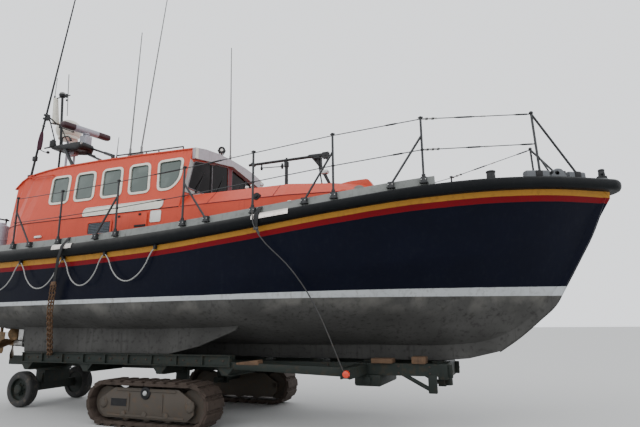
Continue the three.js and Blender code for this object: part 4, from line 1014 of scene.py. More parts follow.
def belt(section, path, full_depth=None):
    """Lay a section of (out, up) points along a path of deck edge places, and skin it."""
    rows = []
    for x, y, z, out_x, out_y in path:
        deep = stripe_drop(x, 1) / full_depth if full_depth else 1.0
        rows.append([(x + out_x * out, y + out_y * out, z + up * deep) for out, up in section])
    return skinned(rows)


def edge_between(aft, front, steps):
    """Places along the deck edge, evenly spaced."""
    return [edge_at(aft + (front - aft) * i / steps) for i in range(steps + 1)]


def make_fender():
    path = half_belt_path()
    whole = path + [(x, -y, z, nx, -ny) for x, y, z, nx, ny in path[-2::-1]]
    rows = []
    for i in range(STERN_STEPS + 1):
        y = -STERN_HALF + 2 * STERN_HALF * i / STERN_STEPS
        top = deck_edge(TRANSOM_X) + DECK_CAMBER * (1 - (y / STERN_HALF) ** 2) - 0.004
        low = deck_edge(TRANSOM_X) - FENDER_DEPTH
        rows.append([(TRANSOM_X - out, y, top + (low - top) * share) for out, share in STERN_SECTION])
    return joined([belt(FENDER_SECTION, whole, FENDER_DEPTH), skinned(rows)])


def make_fender_finish():
    """Black rubber, lighter grey along its upper corner: a painted sheen, with some dust on it."""
    material, tree = new_material("fender_dust_and_sheen")
    depth = node(tree, "ShaderNodeAttribute", attribute_name="below_sheer").outputs["Fac"]
    cloud = wander(tree, object_place(tree), 6.0, 6.0, 0.06)
    # The lighter grey along the upper corner is painted sheen, with some dust.
    below_dust_and_sheen = ramp(tree, math_node(tree, "ADD", depth, cloud), -0.30, -0.17)
    out = patina(tree, (0.004, 0.005, 0.006), (0.02, 0.02, 0.02), 0.3, 0.2, 0.2)
    colour = mixed(tree, below_dust_and_sheen, (0.045, 0.045, 0.043, 1), out["Colour"])
    shade(tree, colour, out["Mask"], 0.5, 0.75, bump=0.25, grain=120, specular=0.12)
    return material


fender = make_fender()
mark_sheer(fender)
# The fender's finish paints a sheen along its upper corner.
FENDER_DUST_AND_SHEEN = make_fender_finish()
fitted(fender, "fender_rubber", "fender_rubber", FENDER_DUST_AND_SHEEN, replaces=["fender_belt"], angle=40)
print("fender:", len(fender.data.polygons), "faces")

# %% [markdown]
# The superstructure is welded sheet with its windows set in clamped frames. Each side window here
# is a cream ring and a pane. The ring starts as a round primitive laid on the window's outline,
# is inset by the width of the frame, loses its middle, and is extruded and bevelled. Then it is
# laid on the wall, whose half width is known at every place and height.

# %% Side walls and windows
TAPER_X, CABIN_AFT, CABIN_FRONT = -4.05, -4.83, -0.65
SEAM_Z, SEAM_HALF, AFT_SEAM_HALF = 3.376, 1.49, 1.275
ROOF_EDGE_Z, ROOF_EDGE_HALF, AFT_ROOF_HALF = 4.53, 1.16, 1.165
LOWER_FLARE, LOWER_FOOT = 0.03, 2.7
WINDOWS = [(-3.76, -3.27), (-3.145, -2.655), (-2.51, -2.02), (-1.882, -1.408), (-1.258, -0.755)]
WINDOW_SILL, WINDOW_HEAD, WINDOW_LEAN, WINDOW_CORNER = 3.70, 4.315, 0.075, 0.115
FRAME_WIDTH = 0.054
FRAME_INSIDE = 0.054
FRAME_PROUD = 0.014
PANE_DEPTH = 0.004


def side_half(x, z):
    """Half width of the superstructure's wall."""
    up = (max(z, SEAM_Z) - SEAM_Z) / (ROOF_EDGE_Z - SEAM_Z)
    full = SEAM_HALF + (ROOF_EDGE_HALF - SEAM_HALF) * up
    aft = AFT_SEAM_HALF + (AFT_ROOF_HALF - AFT_SEAM_HALF) * up
    share = min(max((TAPER_X - x) / (TAPER_X - CABIN_AFT), 0), 1) ** 2
    flare = LOWER_FLARE * max(SEAM_Z - z, 0) / (SEAM_Z - LOWER_FOOT)
    return full + (aft - full) * share + flare


def rounded_outline(corners, radius, steps=5):
    """Corner points in turn, each replaced by a curve."""
    outline = []
    for i, corner in enumerate(corners):
        corner = Vector(corner)
        before = (Vector(corners[i - 1]) - corner).normalized()
        after = (Vector(corners[(i + 1) % len(corners)]) - corner).normalized()
        for k in range(steps + 1):
            t = k / steps
            point = corner + before * ((1 - t) ** 2 * radius) + after * (t**2 * radius)
            outline.append((point.x, point.y))
    return outline


def window_corners(aft, front, last):
    corners = [(aft + WINDOW_LEAN, WINDOW_SILL), (front + WINDOW_LEAN, WINDOW_SILL),
               (front - WINDOW_LEAN, WINDOW_HEAD), (aft - WINDOW_LEAN, WINDOW_HEAD)]
    if last:
        corners[2] = (front - 0.02, WINDOW_HEAD)
        corners[1:2] = [(front - 0.13, WINDOW_SILL), (front + 0.02, WINDOW_SILL + 0.19)]
    return corners


def grown(outline, by):
    """An anticlockwise outline with every point moved outwards."""
    count = len(outline)
    points = []
    for i in range(count):
        here, before, after = (Vector(outline[j % count]) for j in (i, i - 1, i + 1))
        along = (after - before).normalized()
        points.append(tuple(here + Vector((along.y, -along.x)) * by))
    return points


def ring_plate(outline, width, thick, axis="y", edge=0.004):
    """A flat ring whose inner rim is the outline: grown by the width, inset back and extruded."""
    piece = laid_flat(grown(outline, width), axis)
    edit_all(piece)
    bpy.ops.mesh.inset(thickness=width, use_even_offset=True)
    bpy.ops.mesh.delete(type="FACE")
    select_all()
    extrude(axis, thick if axis == "x" else -thick)
    done_editing()
    if edge:
        apply_modifier(piece, "BEVEL", width=edge, segments=2, limit_method="ANGLE")
    return piece


def lay_on_side(piece, depth=0.0):
    """Push a flat piece, drawn at y = 0, onto the starboard wall."""
    for vertex in piece.data.vertices:
        vertex.co.y += -side_half(vertex.co.x, vertex.co.z) + depth
    return piece


def make_side_windows():
    frames, panes, seals = [], [], []
    for i, (aft, front) in enumerate(WINDOWS):
        corners = window_corners(aft, front, i == len(WINDOWS) - 1)
        outline = grown(rounded_outline(corners, WINDOW_CORNER), -FRAME_INSIDE)
        frames.append(lay_on_side(ring_plate(outline, FRAME_WIDTH, FRAME_PROUD)))
        seals.append(lay_on_side(ring_plate(outline, 0.007, FRAME_PROUD + 0.003, edge=0.002)))
        panes.append(lay_on_side(plate(outline, "y", PANE_DEPTH, PANE_DEPTH + 0.008)))
    both_sides(frames, "window_frames", "pale_paint", CREAM)
    both_sides(seals, "window_seals", "fender_rubber", BLACK)
    both_sides(panes, "window_panes", "window_glass", SIDE_GLASS, replaces=["side_glass"])


make_side_windows()
print("side windows:", 2 * len(WINDOWS))

# %% [markdown]
# Small fittings on the walls read as pale, dark and raised shapes: the joint between the lower and
# upper walls, a blank name board with rounded ends, a locker door with a slot handle, a louvred
# air intake, a blank square sign and a hand rail near the roof. Each is drawn flat and laid on
# the wall.

# %% Fittings on the cabin sides
NAME_BOARD = ((-2.70, 3.392), (-0.99, 3.535))
LOCKER = ((-2.58, 3.00), (-1.25, 3.335))
INTAKE = ((-2.53, 3.05), (-2.03, 3.245))
BLANK_SIGN = ((-1.19, 3.165), (-0.995, 3.342))
SLOT = ((-1.49, 3.095), (-1.26, 3.13))


def corners_of(low, high):
    return [(low[0], low[1]), (high[0], low[1]), (high[0], high[1]), (low[0], high[1])]


def wall_panel(low, high, corner, proud, edge=0.003):
    outline = rounded_outline(corners_of(low, high), corner)
    return lay_on_side(plate(outline, "y", -proud, 0.004, edge=edge))


def wall_ring(low, high, corner, width, proud):
    outline = rounded_outline(corners_of(low, high), corner)
    return lay_on_side(ring_plate(outline, width, proud, edge=0.003))


INTAKE_GREY = finish("intake_grey", (0.075, 0.090, 0.105), (0.04, 0.045, 0.045), 0.2, 0.4, 0.3, 0.6, 0.8,
                     0.1, 90)


def make_louvre():
    (aft, low), (front, high) = INTAKE
    parts = [wall_panel((aft, low), (front, high), 0.004, 0.004, 0)]
    blades = 7
    for i in range(blades):
        z = low + (high - low) * (i + 0.5) / blades
        blade = block((aft + 0.012, -0.02, z - 0.004), (front - 0.012, 0.0, z + 0.004), 0.002, 1)
        for vertex in blade.data.vertices:
            vertex.co.z += (vertex.co.y + 0.01) * 0.6
        parts.append(lay_on_side(blade))
    return joined(parts)


def make_wall_fittings():
    seam_xs = [CABIN_AFT + 0.02] + [-4.7 + 0.15 * i for i in range(28)]
    seam = pipe([(x, -side_half(x, SEAM_Z) - 0.002, SEAM_Z) for x in seam_xs], 0.007, sides=1)
    both_sides(seam, "wall_joint", "fender_rubber", BLACK)
    board = wall_panel(*NAME_BOARD, 0.055, 0.014)
    both_sides(board, "name_board_blank", "pale_paint", CREAM)
    trim = wall_ring(*NAME_BOARD, 0.055, 0.012, 0.02)
    sign_rim = wall_ring(*BLANK_SIGN, 0.02, 0.01, 0.012)
    both_sides([trim, sign_rim], "board_trim", "gear_plastic", WHITE)
    both_sides(wall_panel(*BLANK_SIGN, 0.02, 0.008), "sign_blank", "gear_plastic", WHITE)
    door = wall_panel((LOCKER[0][0] + 0.62, LOCKER[0][1]), LOCKER[1], 0.03, 0.03, 0.008)
    surround = wall_ring(*INTAKE, 0.012, 0.035, 0.022)
    both_sides([door, surround], "locker_door", "orange_paint", ORANGE)
    both_sides(make_louvre(), "air_intake", "carriage_paint", INTAKE_GREY)
    slot = wall_panel(*SLOT, 0.012, 0.045, 0.004)
    hinges = [wall_panel((x, 3.29), (x + 0.05, 3.325), 0.006, 0.04, 0.003) for x in (-1.86, -1.42)]
    both_sides([slot, *hinges], "locker_handle", "rail_steel", BLACK)
    light = joined([wall_panel((-3.80, 3.075), (-3.63, 3.115), 0.018, 0.03, 0.006)])
    both_sides(light, "deck_light", "gear_plastic", WHITE)


def make_side_rails():
    """A hand rail near the roof, with a short leg down to the wall at each end."""
    line = [(-4.48 + 0.13 * i, 4.375 - 0.005 * i) for i in range(6)]
    line = [(x, -side_half(x, z) - 0.05, z) for x, z in line]
    legs = [rod(p, (p[0], p[1] + 0.055, p[2]), 0.0108, 8) for p in (line[0], line[-1])]
    both_sides([pipe(line, 0.012), *legs], "side_hand_rail", "rail_steel", ORANGE)


make_wall_fittings()
make_side_rails()
print("wall fittings done")

# %% [markdown]
# The windscreen is four black panes behind a heavy bar frame, under a pale hood that keeps spray
# and glare off them. Dark grey rings stand round the panes, and each pane has a
# wiper. The rings stand on the front wall's plane, so they are drawn as seen from ahead.

# %% Windscreen
PANES = [
    [(0.07, 3.745), (0.56, 3.747), (0.56, 4.35), (0.07, 4.43)],
    [(0.62, 3.748), (1.275, 3.75), (1.13, 4.235), (0.62, 4.34)],
]
WINDSCREEN_OPENING = [(0.07, 3.745), (1.275, 3.75), (1.13, 4.235), (0.59, 4.345), (0.07, 4.43)]
BETWEEN_PANES = [(0.545, 3.752), (0.635, 3.752), (0.635, 4.332), (0.545, 4.346)]
MULLION = [(0.581, 3.752), (0.599, 3.752), (0.599, 4.338), (0.581, 4.342)]
WINDSCREEN_CORNER = 0.05
FRAME_GREY = finish("frame_grey", (0.11, 0.105, 0.115), (0.05, 0.045, 0.045), 0.2, 0.3, 0.3, 0.5, 0.7,
                    0.06, 120)


def make_windscreen():
    rings, glass, wipers = [], [], []
    for pane in PANES:
        for side in (1, -1):
            outline = rounded_outline(pane, WINDSCREEN_CORNER)
            if side < 0:
                outline = [(-y, z) for y, z in reversed(outline)]
            glass.append(plate(outline, "x", CABIN_FRONT - 0.012, CABIN_FRONT - 0.004))
            low = min(z for _, z in outline)
            high = max(z for _, z in outline) - 0.12
            middle = sum(y for y, _ in outline) / len(outline)
            foot = (CABIN_FRONT + 0.03, middle - 0.16, low - 0.03)
            tip = (CABIN_FRONT - 0.008, middle + 0.10, high - 0.08)
            wipers.append(rod(foot, tip, 0.008, 8, 0.005))
            knee = Vector(foot).lerp(Vector(tip), 0.55)
            blade_low = (CABIN_FRONT - 0.012, knee.y + 0.03, knee.z - 0.17)
            blade_high = (CABIN_FRONT - 0.012, tip[1] + 0.03, tip[2] + 0.06)
            wipers.append(rod(blade_low, blade_high, 0.007, 6))
            wipers.append(rod((CABIN_FRONT, foot[1], foot[2]), foot, 0.022, 12, edge=0.004))
    for side in (1, -1):
        outline = [(side * y, z) for y, z in rounded_outline(WINDSCREEN_OPENING, WINDSCREEN_CORNER)]
        ring = ring_plate(outline[::side], 0.016, 0.012, axis="x", edge=0.003)
        ring.location.x = CABIN_FRONT
        rings.append(settle(ring))
        glass.append(plate([(side * y, z) for y, z in BETWEEN_PANES[::side]], "x",
                           CABIN_FRONT - 0.002, CABIN_FRONT + 0.003))
        rings.append(plate([(side * y, z) for y, z in MULLION[::side]], "x",
                           CABIN_FRONT, CABIN_FRONT + 0.008, edge=0.002))
    fitted(rings, "windscreen_frames", "pale_paint", FRAME_GREY)
    fitted(glass, "windscreen_panes", "window_glass", DARK_GLASS, replaces=["windscreen_glass"])
    fitted(wipers, "windscreen_wipers", "rail_steel", BLACK)


make_windscreen()
print("windscreen panes:", 2 * len(PANES))

# %% [markdown]
# The guard rail's wires run through an eye on every post and are drawn tight by bottlescrews, and
# forward of the last post they end in a few links of chain. Each fitting takes its place from the
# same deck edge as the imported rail: a height above it and a distance outside it.

# %% Guard rail fittings
POSTS = [-3.93, -2.818, -1.57, -0.28, 0.915, 2.12, 3.30]
BRACE_FEET = [-3.51, -1.99, 0.14, 1.70, 2.88]
POST_OUT, POST_TOP = 0.005, 0.94
WIRE_HEIGHTS = (0.488, 0.925)
BOW_LEG = (4.735, 4.70, -0.07)
PAD_HEIGHT = 0.075
CHAIN_SHARES, SLEEVE_SHARES = (0.012, 0.15), (0.54, 0.58)
SCREW_SPANS = [
    # wire, span between two posts, first and last share of it that is a bottlescrew
    (1, 2, 0.55, 0.98), (0, 2, 0.60, 0.75), (1, 3, 0.30, 0.58), (1, 5, 0.60, 0.74),
    (0, 5, 0.66, 0.80), (1, 6, 0.30, 0.48), (0, 6, 0.38, 0.52), (1, 6, 0.84, 0.98),
    (0, 6, 0.86, 0.985),
]


def rail_point(x, height, out=POST_OUT):
    _, y, z, nx, ny = edge_at(x)
    return Vector((x, y - out * math.hypot(1, nx / ny), z + height))


def bow_leg_point(height):
    share = (height - PAD_HEIGHT) / (POST_TOP - PAD_HEIGHT)
    foot, head, out = BOW_LEG
    return rail_point(foot + (head - foot) * share, height, out)


def along_wire(height, span, shares):
    """Places on a wire, as shares of its span between two posts."""
    ends = [rail_point(x, height) for x in POSTS] + [bow_leg_point(height)]
    return [ends[span].lerp(ends[span + 1], share) for share in shares]


def chain(start, end, link=0.05, thick=0.006, width=0.55):
    """Links from one end to the other, each turned a quarter from the last."""
    start, end = Vector(start), Vector(end)
    along = (end - start).normalized()
    reach = link - 2 * thick
    count = max(1, round(((end - start).length - thick) / reach))
    step = (end - start) / count
    turn = along.to_track_quat("X", "Z").to_matrix().to_4x4()
    fresh()
    bpy.ops.mesh.primitive_torus_add(
        major_segments=14, minor_segments=6, major_radius=link * width / 2, minor_radius=thick)
    first = bpy.context.object
    stretch = max(0.0, (step.length + 2 * thick) / 2 - link * width / 2 - thick)
    for vertex in first.data.vertices:
        vertex.co.x += math.copysign(stretch, vertex.co.x)
    links = []
    for i in range(count):
        one = copied(first)
        middle = start + step * (i + 0.5)
        spin = Matrix.Rotation(math.radians(45 + 90 * (i % 2)), 4, "X")
        one.matrix_world = Matrix.Translation(middle) @ turn @ spin
        links.append(settle(one))
    bpy.data.objects.remove(first, do_unlink=True)
    return joined(links)


def make_rail_fittings():
    dark, bright = [], []
    for x in POSTS:
        top = rail_point(x, POST_TOP + 0.006)
        dark.append(ball(top, 0.027, (1, 1, 0.75), 12, 8))
        dark.append(rod(top - Vector((0.034, 0, 0)), top + Vector((0.034, 0, 0)), 0.011, 8))
        dark.append(rod(rail_point(x, 0.11), rail_point(x, 0.15), 0.027, 12, edge=0.004))
        dark.append(ball(rail_point(x, WIRE_HEIGHTS[0]), 0.025, (1, 1, 0.8), 12, 8))
    for x in [*POSTS, *BRACE_FEET]:
        foot = rail_point(x, 0.03, 0)
        dark.append(block((x - 0.055, foot.y - 0.030, foot.z - 0.004),
                          (x + 0.055, foot.y + 0.058, foot.z + 0.012), 0.003, 1))
        for shift in (-0.028, 0.028):
            bolt = Vector((x + shift, foot.y - 0.027, foot.z + 0.045))
            bright.append(rod(bolt, bolt + Vector((0, -0.009, 0)), 0.008, 6))
    for wire, span, first, last in SCREW_SPANS:
        a, b = along_wire(WIRE_HEIGHTS[wire], span, (first, last))
        dark.append(rod(a.lerp(b, 0.12), a.lerp(b, 0.88), 0.0125, 10, edge=0.003))
        dark.append(rod(a, b, 0.009, 8))
    dark.append(ball(bow_leg_point(POST_TOP), 0.03, (1, 1, 0.9), 12, 8))
    both_sides(dark, "rail_fittings", "rail_steel", RAIL_BLACK)
    last_span = len(POSTS) - 1
    for height in WIRE_HEIGHTS:
        bright.append(chain(*along_wire(height, last_span, CHAIN_SHARES), 0.052, 0.0065))
        bright.append(rod(*along_wire(height, last_span, SLEEVE_SHARES), 0.011, 8))
    both_sides(bright, "rail_chain", "rail_steel", STEEL)


RAIL_BLACK = finish("rail_black", (0.014, 0.015, 0.016), (0.05, 0.045, 0.04), 0.2, 0.15, 0.2, 0.45, 0.65,
                    0.08, 150, specular=0.35)
make_rail_fittings()
print("rail fittings on", len(POSTS), "posts a side")

# %% [markdown]
# Along the fender lie bent steel plates where ropes and lashings cross it. Under it, black clips
# hold the peaks of the grab line. A plate is a strip laid round the fender's upper corner, so it
# follows the sheer as the fender does.

# %% Fender plates, clips and brackets
FENDER_PLATES = [(-2.86, -2.42), (0.93, 1.49)]
PLATE_SECTION = [
    (-0.035, 0.001), (0.022, 0.0015), (0.056, -0.008), (0.077, -0.043), (0.081, -0.085),
    (0.085, -0.085), (0.081, -0.041), (0.059, -0.004), (0.023, 0.006), (-0.035, 0.006),
]
CLIP_EVERY = 8
CLIP_HALF = 0.021
GUSSET = [(1.31, 3.045), (1.57, 3.07), (1.555, 3.11), (1.475, 3.205), (1.425, 3.205), (1.345, 3.10)]


def make_fender_fittings():
    plates = []
    for aft, front in FENDER_PLATES:
        plates.append(belt(PLATE_SECTION, edge_between(aft, front, 6)))
        for i in range(4):
            x, y, z, nx, ny = edge_at(aft + (front - aft) * (i + 0.5) / 4)
            start = Vector((x + nx * 0.078, y + ny * 0.078, z - 0.068))
            plates.append(rod(start, start + Vector((nx, ny, 0)) * 0.010, 0.009, 8, edge=0.002))
    both_sides(plates, "fender_plates", "steel", POLISHED)
    clips = []
    for x, y, z in GRAB_LINE[::CLIP_EVERY]:
        clips.append(block((x - CLIP_HALF, y - 0.018, z - 0.022), (x + CLIP_HALF, y + 0.03, z + 0.05),
                           0.006))
    both_sides(clips, "grab_line_clips", "fender_rubber", BLACK)
    gusset = plate(GUSSET, "y", -1.758, -1.742, edge=0.004)
    eye = crosswise(1.452, 3.155, -1.765, -1.735, 0.017, 12)
    both_sides([gusset, eye], "lifting_bracket", "pale_paint", CREAM)


POLISHED = finish("worn_plate", (0.62, 0.58, 0.54), (0.30, 0.20, 0.12), 0.2, 0.2, 0.3, 0.3, 0.5, 0.08,
                  60, metallic=0.6)
make_fender_fittings()
print("fender plates:", 2 * len(FENDER_PLATES))

# %% [markdown]
# Cast pads carry the rail's bow legs, and a round-topped fairlead with a rope hole stands between
# them on each side. The fairlead is bored, and turned to lie along the deck edge.

# %% Bow pads and fairleads
BOW_PADS = [(4.585, 4.865, 0.100), (5.125, 5.335, 0.092)]
PAD_IN, PAD_OUT = 0.134, 0.021
FAIRLEAD_HEAD = [(-0.13, 0.0), (0.125, 0.0), (0.115, 0.03), (0.085, 0.06), (0.07, 0.10), (0.04, 0.123),
                 (0.0, 0.128), (-0.04, 0.125), (-0.075, 0.10), (-0.09, 0.06), (-0.12, 0.03)]
FAIRLEAD_X = 4.995
BOW_LEG_FEET = (4.735, 5.235)


def turned_to_edge(piece, x):
    """Move a piece drawn about the origin to the deck edge, and turn it to lie along it."""
    x, y, z, nx, ny = edge_at(x)
    piece.rotation_euler.z = math.atan2(nx, -ny)
    piece.location = (x, y, z)
    return settle(piece)


def make_bow_pads():
    pieces = []
    for aft, front, height in BOW_PADS:
        section = [(-PAD_IN, 0.0), (-PAD_IN, height - 0.02), (-PAD_IN + 0.02, height),
                   (-PAD_OUT - 0.02, height), (-PAD_OUT, height - 0.02), (-PAD_OUT, 0.0)]
        pieces.append(belt(section, edge_between(aft, front, 4)))
    head = turned_to_edge(plate(FAIRLEAD_HEAD, "y", PAD_OUT, PAD_IN, edge=0.008), FAIRLEAD_X)
    x, y, z, nx, ny = edge_at(FAIRLEAD_X)
    place = (x - nx * 0.075, z + 0.062)
    cut_by(head, crosswise(place[0], place[1], y - 0.2, y + 0.3, 0.030, 24))
    both_sides([*pieces, head], "bow_pads", "steel", PAD_GREY)
    feet = [turned_to_edge(block((-0.05, 0.012, 0.004), (0.05, 0.034, 0.094), 0.006), x)
            for x in BOW_LEG_FEET]
    both_sides(feet, "bow_leg_feet", "rail_steel", BLACK)


PAD_GREY = finish("pad_grey", (0.088, 0.094, 0.102), (0.05, 0.048, 0.045), 0.25, 0.3, 0.3, 0.6, 0.8,
                  0.12, 80)
make_bow_pads()
print("bow pads done")

# %% [markdown]
# Four tie-downs hold the boat to the carriage. The forward ones are thin wire with a strap and a
# hook at the top. The aft ones are black webbing over the fender plate, joined by a shackle to a
# doubled rusty chain that runs down to the side rail of the carriage.

# %% Tie-downs
LASHING_FORWARD = [
    (0.95, -1.925, 3.10), (1.00, -1.945, 2.84), (1.50, -1.730, 2.20), (1.72, -1.560, 1.79),
    (2.05, -1.270, 0.84),
]
LASHING_AFT = [
    (-2.60, -1.945, 2.85), (-2.63, -1.965, 2.62), (-2.79, -1.860, 2.06), (-2.90, -1.775, 1.72),
    (-3.42, -1.262, 1.00),
]
WEBBING_HALF = 0.030


def webbing(points, half, thick):
    """A flat band through points, lying along the hull."""
    return skinned([[(x - half, y, z), (x + half, y, z), (x + half, y - thick, z),
                     (x - half, y - thick, z)] for x, y, z in points])


def make_tie_downs():
    wire = pipe(LASHING_FORWARD, 0.0085, resolution=6)
    strap = webbing([(1.02, -1.80, 3.145), (1.02, -1.90, 3.045), (1.02, -1.926, 2.99),
                     (1.015, -1.928, 2.86), (1.02, -1.925, 2.80)], 0.034, 0.007)
    hook = [rod((1.02, -1.922, 2.815), (1.07, -1.915, 2.735), 0.016, 10, 0.010),
            block((0.985, -1.943, 2.79), (1.058, -1.915, 2.825), 0.006)]
    both_sides([wire, *hook], "tie_down_forward", "steel", WIRE_GREY, replaces=["lashing_forward"])
    both_sides(strap, "tie_down_strap", "fender_rubber", BLACK)
    band = webbing([(-2.60, -1.80, 2.965), (-2.60, -1.885, 2.862), (-2.605, -1.935, 2.80),
                    (-2.61, -1.950, 2.70), (-2.64, -1.950, 2.60), (-2.71, -1.912, 2.36),
                    (-2.76, -1.880, 2.20)], WEBBING_HALF, 0.008)
    both_sides(band, "tie_down_webbing", "fender_rubber", BLACK)
    top = Vector((-2.765, -1.888, 2.19))
    knee = Vector((-2.90, -1.790, 1.72))
    foot = Vector(LASHING_AFT[-1])
    links = []
    for shift in (-0.030, 0.030):
        aside = Vector((shift, 0, 0))
        links.append(chain(top + aside, knee + aside, 0.085, 0.011, 0.62))
        links.append(chain(knee + aside, foot + aside + Vector((0, 0, 0.02)), 0.085, 0.011, 0.62))
    links.append(block(top - Vector((0.05, 0.014, 0.03)), top + Vector((0.05, 0.014, 0.035)), 0.008))
    both_sides(links, "tie_down_aft", "steel", RUST, replaces=["lashing_aft"])


WIRE_GREY = finish("wire_grey", (0.055, 0.055, 0.055), (0.12, 0.08, 0.05), 0.2, 0.2, 0.3, 0.5, 0.7, 0.1,
                   200, metallic=0.5)
RUST = finish("chain_rust", (0.12, 0.065, 0.032), (0.035, 0.025, 0.02), 0.4, 0.2, 0.6, 0.75, 0.95, 0.4,
              110, metallic=0.3)
make_tie_downs()
print("tie-downs done")

# %% [markdown]
# The mast frame on the roof is a black rounded body on tubular legs, with the radar's box and
# pedestal, a little gear case and the foot that the signal mast hinges on. The body's underside
# slopes up at both ends, so it is a stack of one rounded outline whose lowest rows follow a slope.

# %% Mast frame
FRAME_LOW, FRAME_HIGH = 4.985, 5.162
FRAME_PLAN = [(-4.52, -0.87), (-3.63, -0.87), (-3.63, -0.45), (-4.52, -0.45)]
FRAME_CORNER = 0.15
FRAME_STACK = [
    # share of the way up, and how far in the outline is there
    (0.0, 0.034), (0.12, 0.010), (0.3, 0.0), (0.8, 0.0), (0.93, 0.008), (1.0, 0.030),
]
LIGHT_PLACE = (-4.43, -0.65)
RADAR_PLACE = Vector((-3.78, -0.61, 5.47))
SIGNAL_FOOT = Vector((-4.72, -1.03, 4.47))
SIGNAL_TIP = Vector((-3.94, -1.03, 8.70))


def frame_underside(x):
    rise_aft = max(0.0, -4.06 - x) / 0.44 * 0.135
    rise_front = max(0.0, x + 3.74) / 0.11 * 0.085
    return FRAME_LOW + rise_aft + rise_front


def frame_body():
    plan = rounded_outline(FRAME_PLAN, FRAME_CORNER, 7)
    return skinned([[(x, y, frame_underside(x) * (1 - share) + FRAME_HIGH * share)
                     for x, y in grown(plan, -inset)] for share, inset in FRAME_STACK])


def signal_at(z):
    """A place on the signal mast's own line."""
    return SIGNAL_FOOT.lerp(SIGNAL_TIP, (z - SIGNAL_FOOT.z) / (SIGNAL_TIP.z - SIGNAL_FOOT.z))


def make_mast_frame():
    light_x, light_y = LIGHT_PLACE
    low, foot = SIGNAL_FOOT.z - 0.042, SIGNAL_FOOT
    black = [
        frame_body(),
        rod((-4.08, -0.83, 5.05), (-3.37, -1.12, 4.36), 0.034, 16),
        upright(light_x, light_y, 5.12, 4.44, 0.022, 14),
        rod((-3.70, -0.50, 5.115), (-2.511, -1.10, 4.61), 0.022, 14),
        rod((-3.80, -0.54, 5.005), (-2.80, -1.045, 4.56), 0.022, 14),
        block((-2.545, -1.118, 4.54), (-2.478, -1.078, 4.632), 0.008),
        rod((-2.95, -0.878, 4.797), (-2.56, -1.075, 4.631), 0.03, 12, edge=0.006),
        rod((-3.60, -0.641, 4.924), (-3.30, -0.792, 4.797), 0.028, 12, edge=0.006),
        rod((-4.65, -0.85, 5.146), (-4.30, -0.85, 5.146), 0.016, 10),
        block((-4.49, -0.885, 5.130), (-4.37, -0.812, 5.285), 0.016, 3),
        upright(-4.43, -0.848, 5.28, 5.305, 0.026, 12, edge=0.004),
        slab((foot.x - 0.06, foot.x + 0.06), foot.y, 0.06, (4.30, low), 0.006),
        rod((foot.x + 0.04, foot.y + 0.055, foot.z - 0.055), (light_x, light_y, 4.70), 0.022, 12),
        upright(-4.40, -0.65, 5.33, 5.15, 0.014, 8),
    ]
    for side in (-1, 1):
        y = foot.y + side * 0.05
        black.append(slab((foot.x - 0.03, foot.x + 0.03), y, 0.007, (4.30, foot.z + 0.04), 0.002, 1))
    horn = pipe([(-4.40, -0.65, 5.32), (-4.395, -0.65, 5.41), (-4.33, -0.65, 5.425),
                 (-4.22, -0.65, 5.405), (-4.16, -0.65, 5.33)], 0.013)
    black += [horn, rod((-4.175, -0.65, 5.36), (-4.155, -0.65, 5.31), 0.024, 12)]
    fitted(black, "mast_frame_tubes", "rail_steel", MAST_BLACK, replaces=["mast_frame"])
    centre = RADAR_PLACE
    grey = [
        slab((centre.x - 0.095, centre.x + 0.095), centre.y, 0.085, (5.15, 5.365), 0.03, 4),
        upright(centre.x, centre.y, 5.35, 5.38, 0.06, 24, edge=0.006),
        rod((-4.20, -0.49, 5.08), (-4.236, -0.452, 4.36), 0.022, 14),
        block((-4.30, -0.62, 5.00), (-4.06, -0.50, 5.09), 0.02, 3),
    ]
    fitted(grey, "radar_box", "gear_plastic", LAVENDER)
    ring = pipe([(-3.60 + 0.022 * math.cos(a), -0.875, 5.105 + 0.022 * math.sin(a)) for a in turns(8)],
                0.007, closed=True)
    fitted(ring, "frame_lifting_ring", "steel", STEEL)


MAST_BLACK = finish("mast_black", (0.011, 0.012, 0.013), (0.04, 0.04, 0.038), 0.2, 0.2, 0.2, 0.5, 0.7,
                    0.08, 120, specular=0.35)
make_mast_frame()
print("mast frame done")

# %% [markdown]
# The open radar scanner turns on its pedestal: a long bar with a rounded section, pale in the
# middle and dark at both ends. It is lofted along its own length and then turned to the angle at
# which the photograph shows it.

# %% Radar scanner
SCANNER_TURN = 1.356
SCANNER_HALF, SCANNER_DEPTH, SCANNER_HEIGHT = 0.55, 0.085, 0.0625
SCANNER_ENDS = (-0.27, 0.24)


def scanner_bar(start, end, steps):
    """A length of the bar: a rounded box section that closes in towards the tips."""
    rows = []
    for i in range(steps + 1):
        along = start + (end - start) * i / steps
        over = max(0.0, abs(along) - (SCANNER_HALF - SCANNER_DEPTH)) / SCANNER_DEPTH
        size = math.sqrt(max(0.02, 1 - over ** 2))
        row = []
        for a in turns(24):
            y = math.copysign(abs(math.cos(a)) ** 0.7, math.cos(a)) * SCANNER_DEPTH * size
            z = math.copysign(abs(math.sin(a)) ** 0.7, math.sin(a)) * SCANNER_HEIGHT * size ** 0.7
            row.append((along, y, z))
        rows.append(row)
    return skinned(rows)


def on_pedestal(pieces):
    piece = joined(pieces)
    piece.matrix_world = Matrix.Translation(RADAR_PLACE) @ Matrix.Rotation(SCANNER_TURN, 4, "Z")
    return settle(piece)


def make_scanner():
    aft, front = SCANNER_ENDS
    middle = [scanner_bar(aft, front, 4), upright(0, 0, -0.0825, -0.03, 0.07, 28, edge=0.008)]
    fitted(on_pedestal(middle), "scanner_middle", "gear_plastic", LAVENDER, body="radar_scanner",
           replaces=["radar_scanner"])
    ends = [scanner_bar(-SCANNER_HALF, aft - 0.001, 8), scanner_bar(front + 0.001, SCANNER_HALF, 8)]
    fitted(on_pedestal(ends), "scanner_ends", "gear_plastic", MAROON, body="radar_scanner")


MAROON = finish("maroon", (0.042, 0.021, 0.025), (0.03, 0.02, 0.02), 0.2, 0.2, 0.25, 0.45, 0.65, 0.05,
                60, specular=0.3)
make_scanner()
print("radar scanner done")

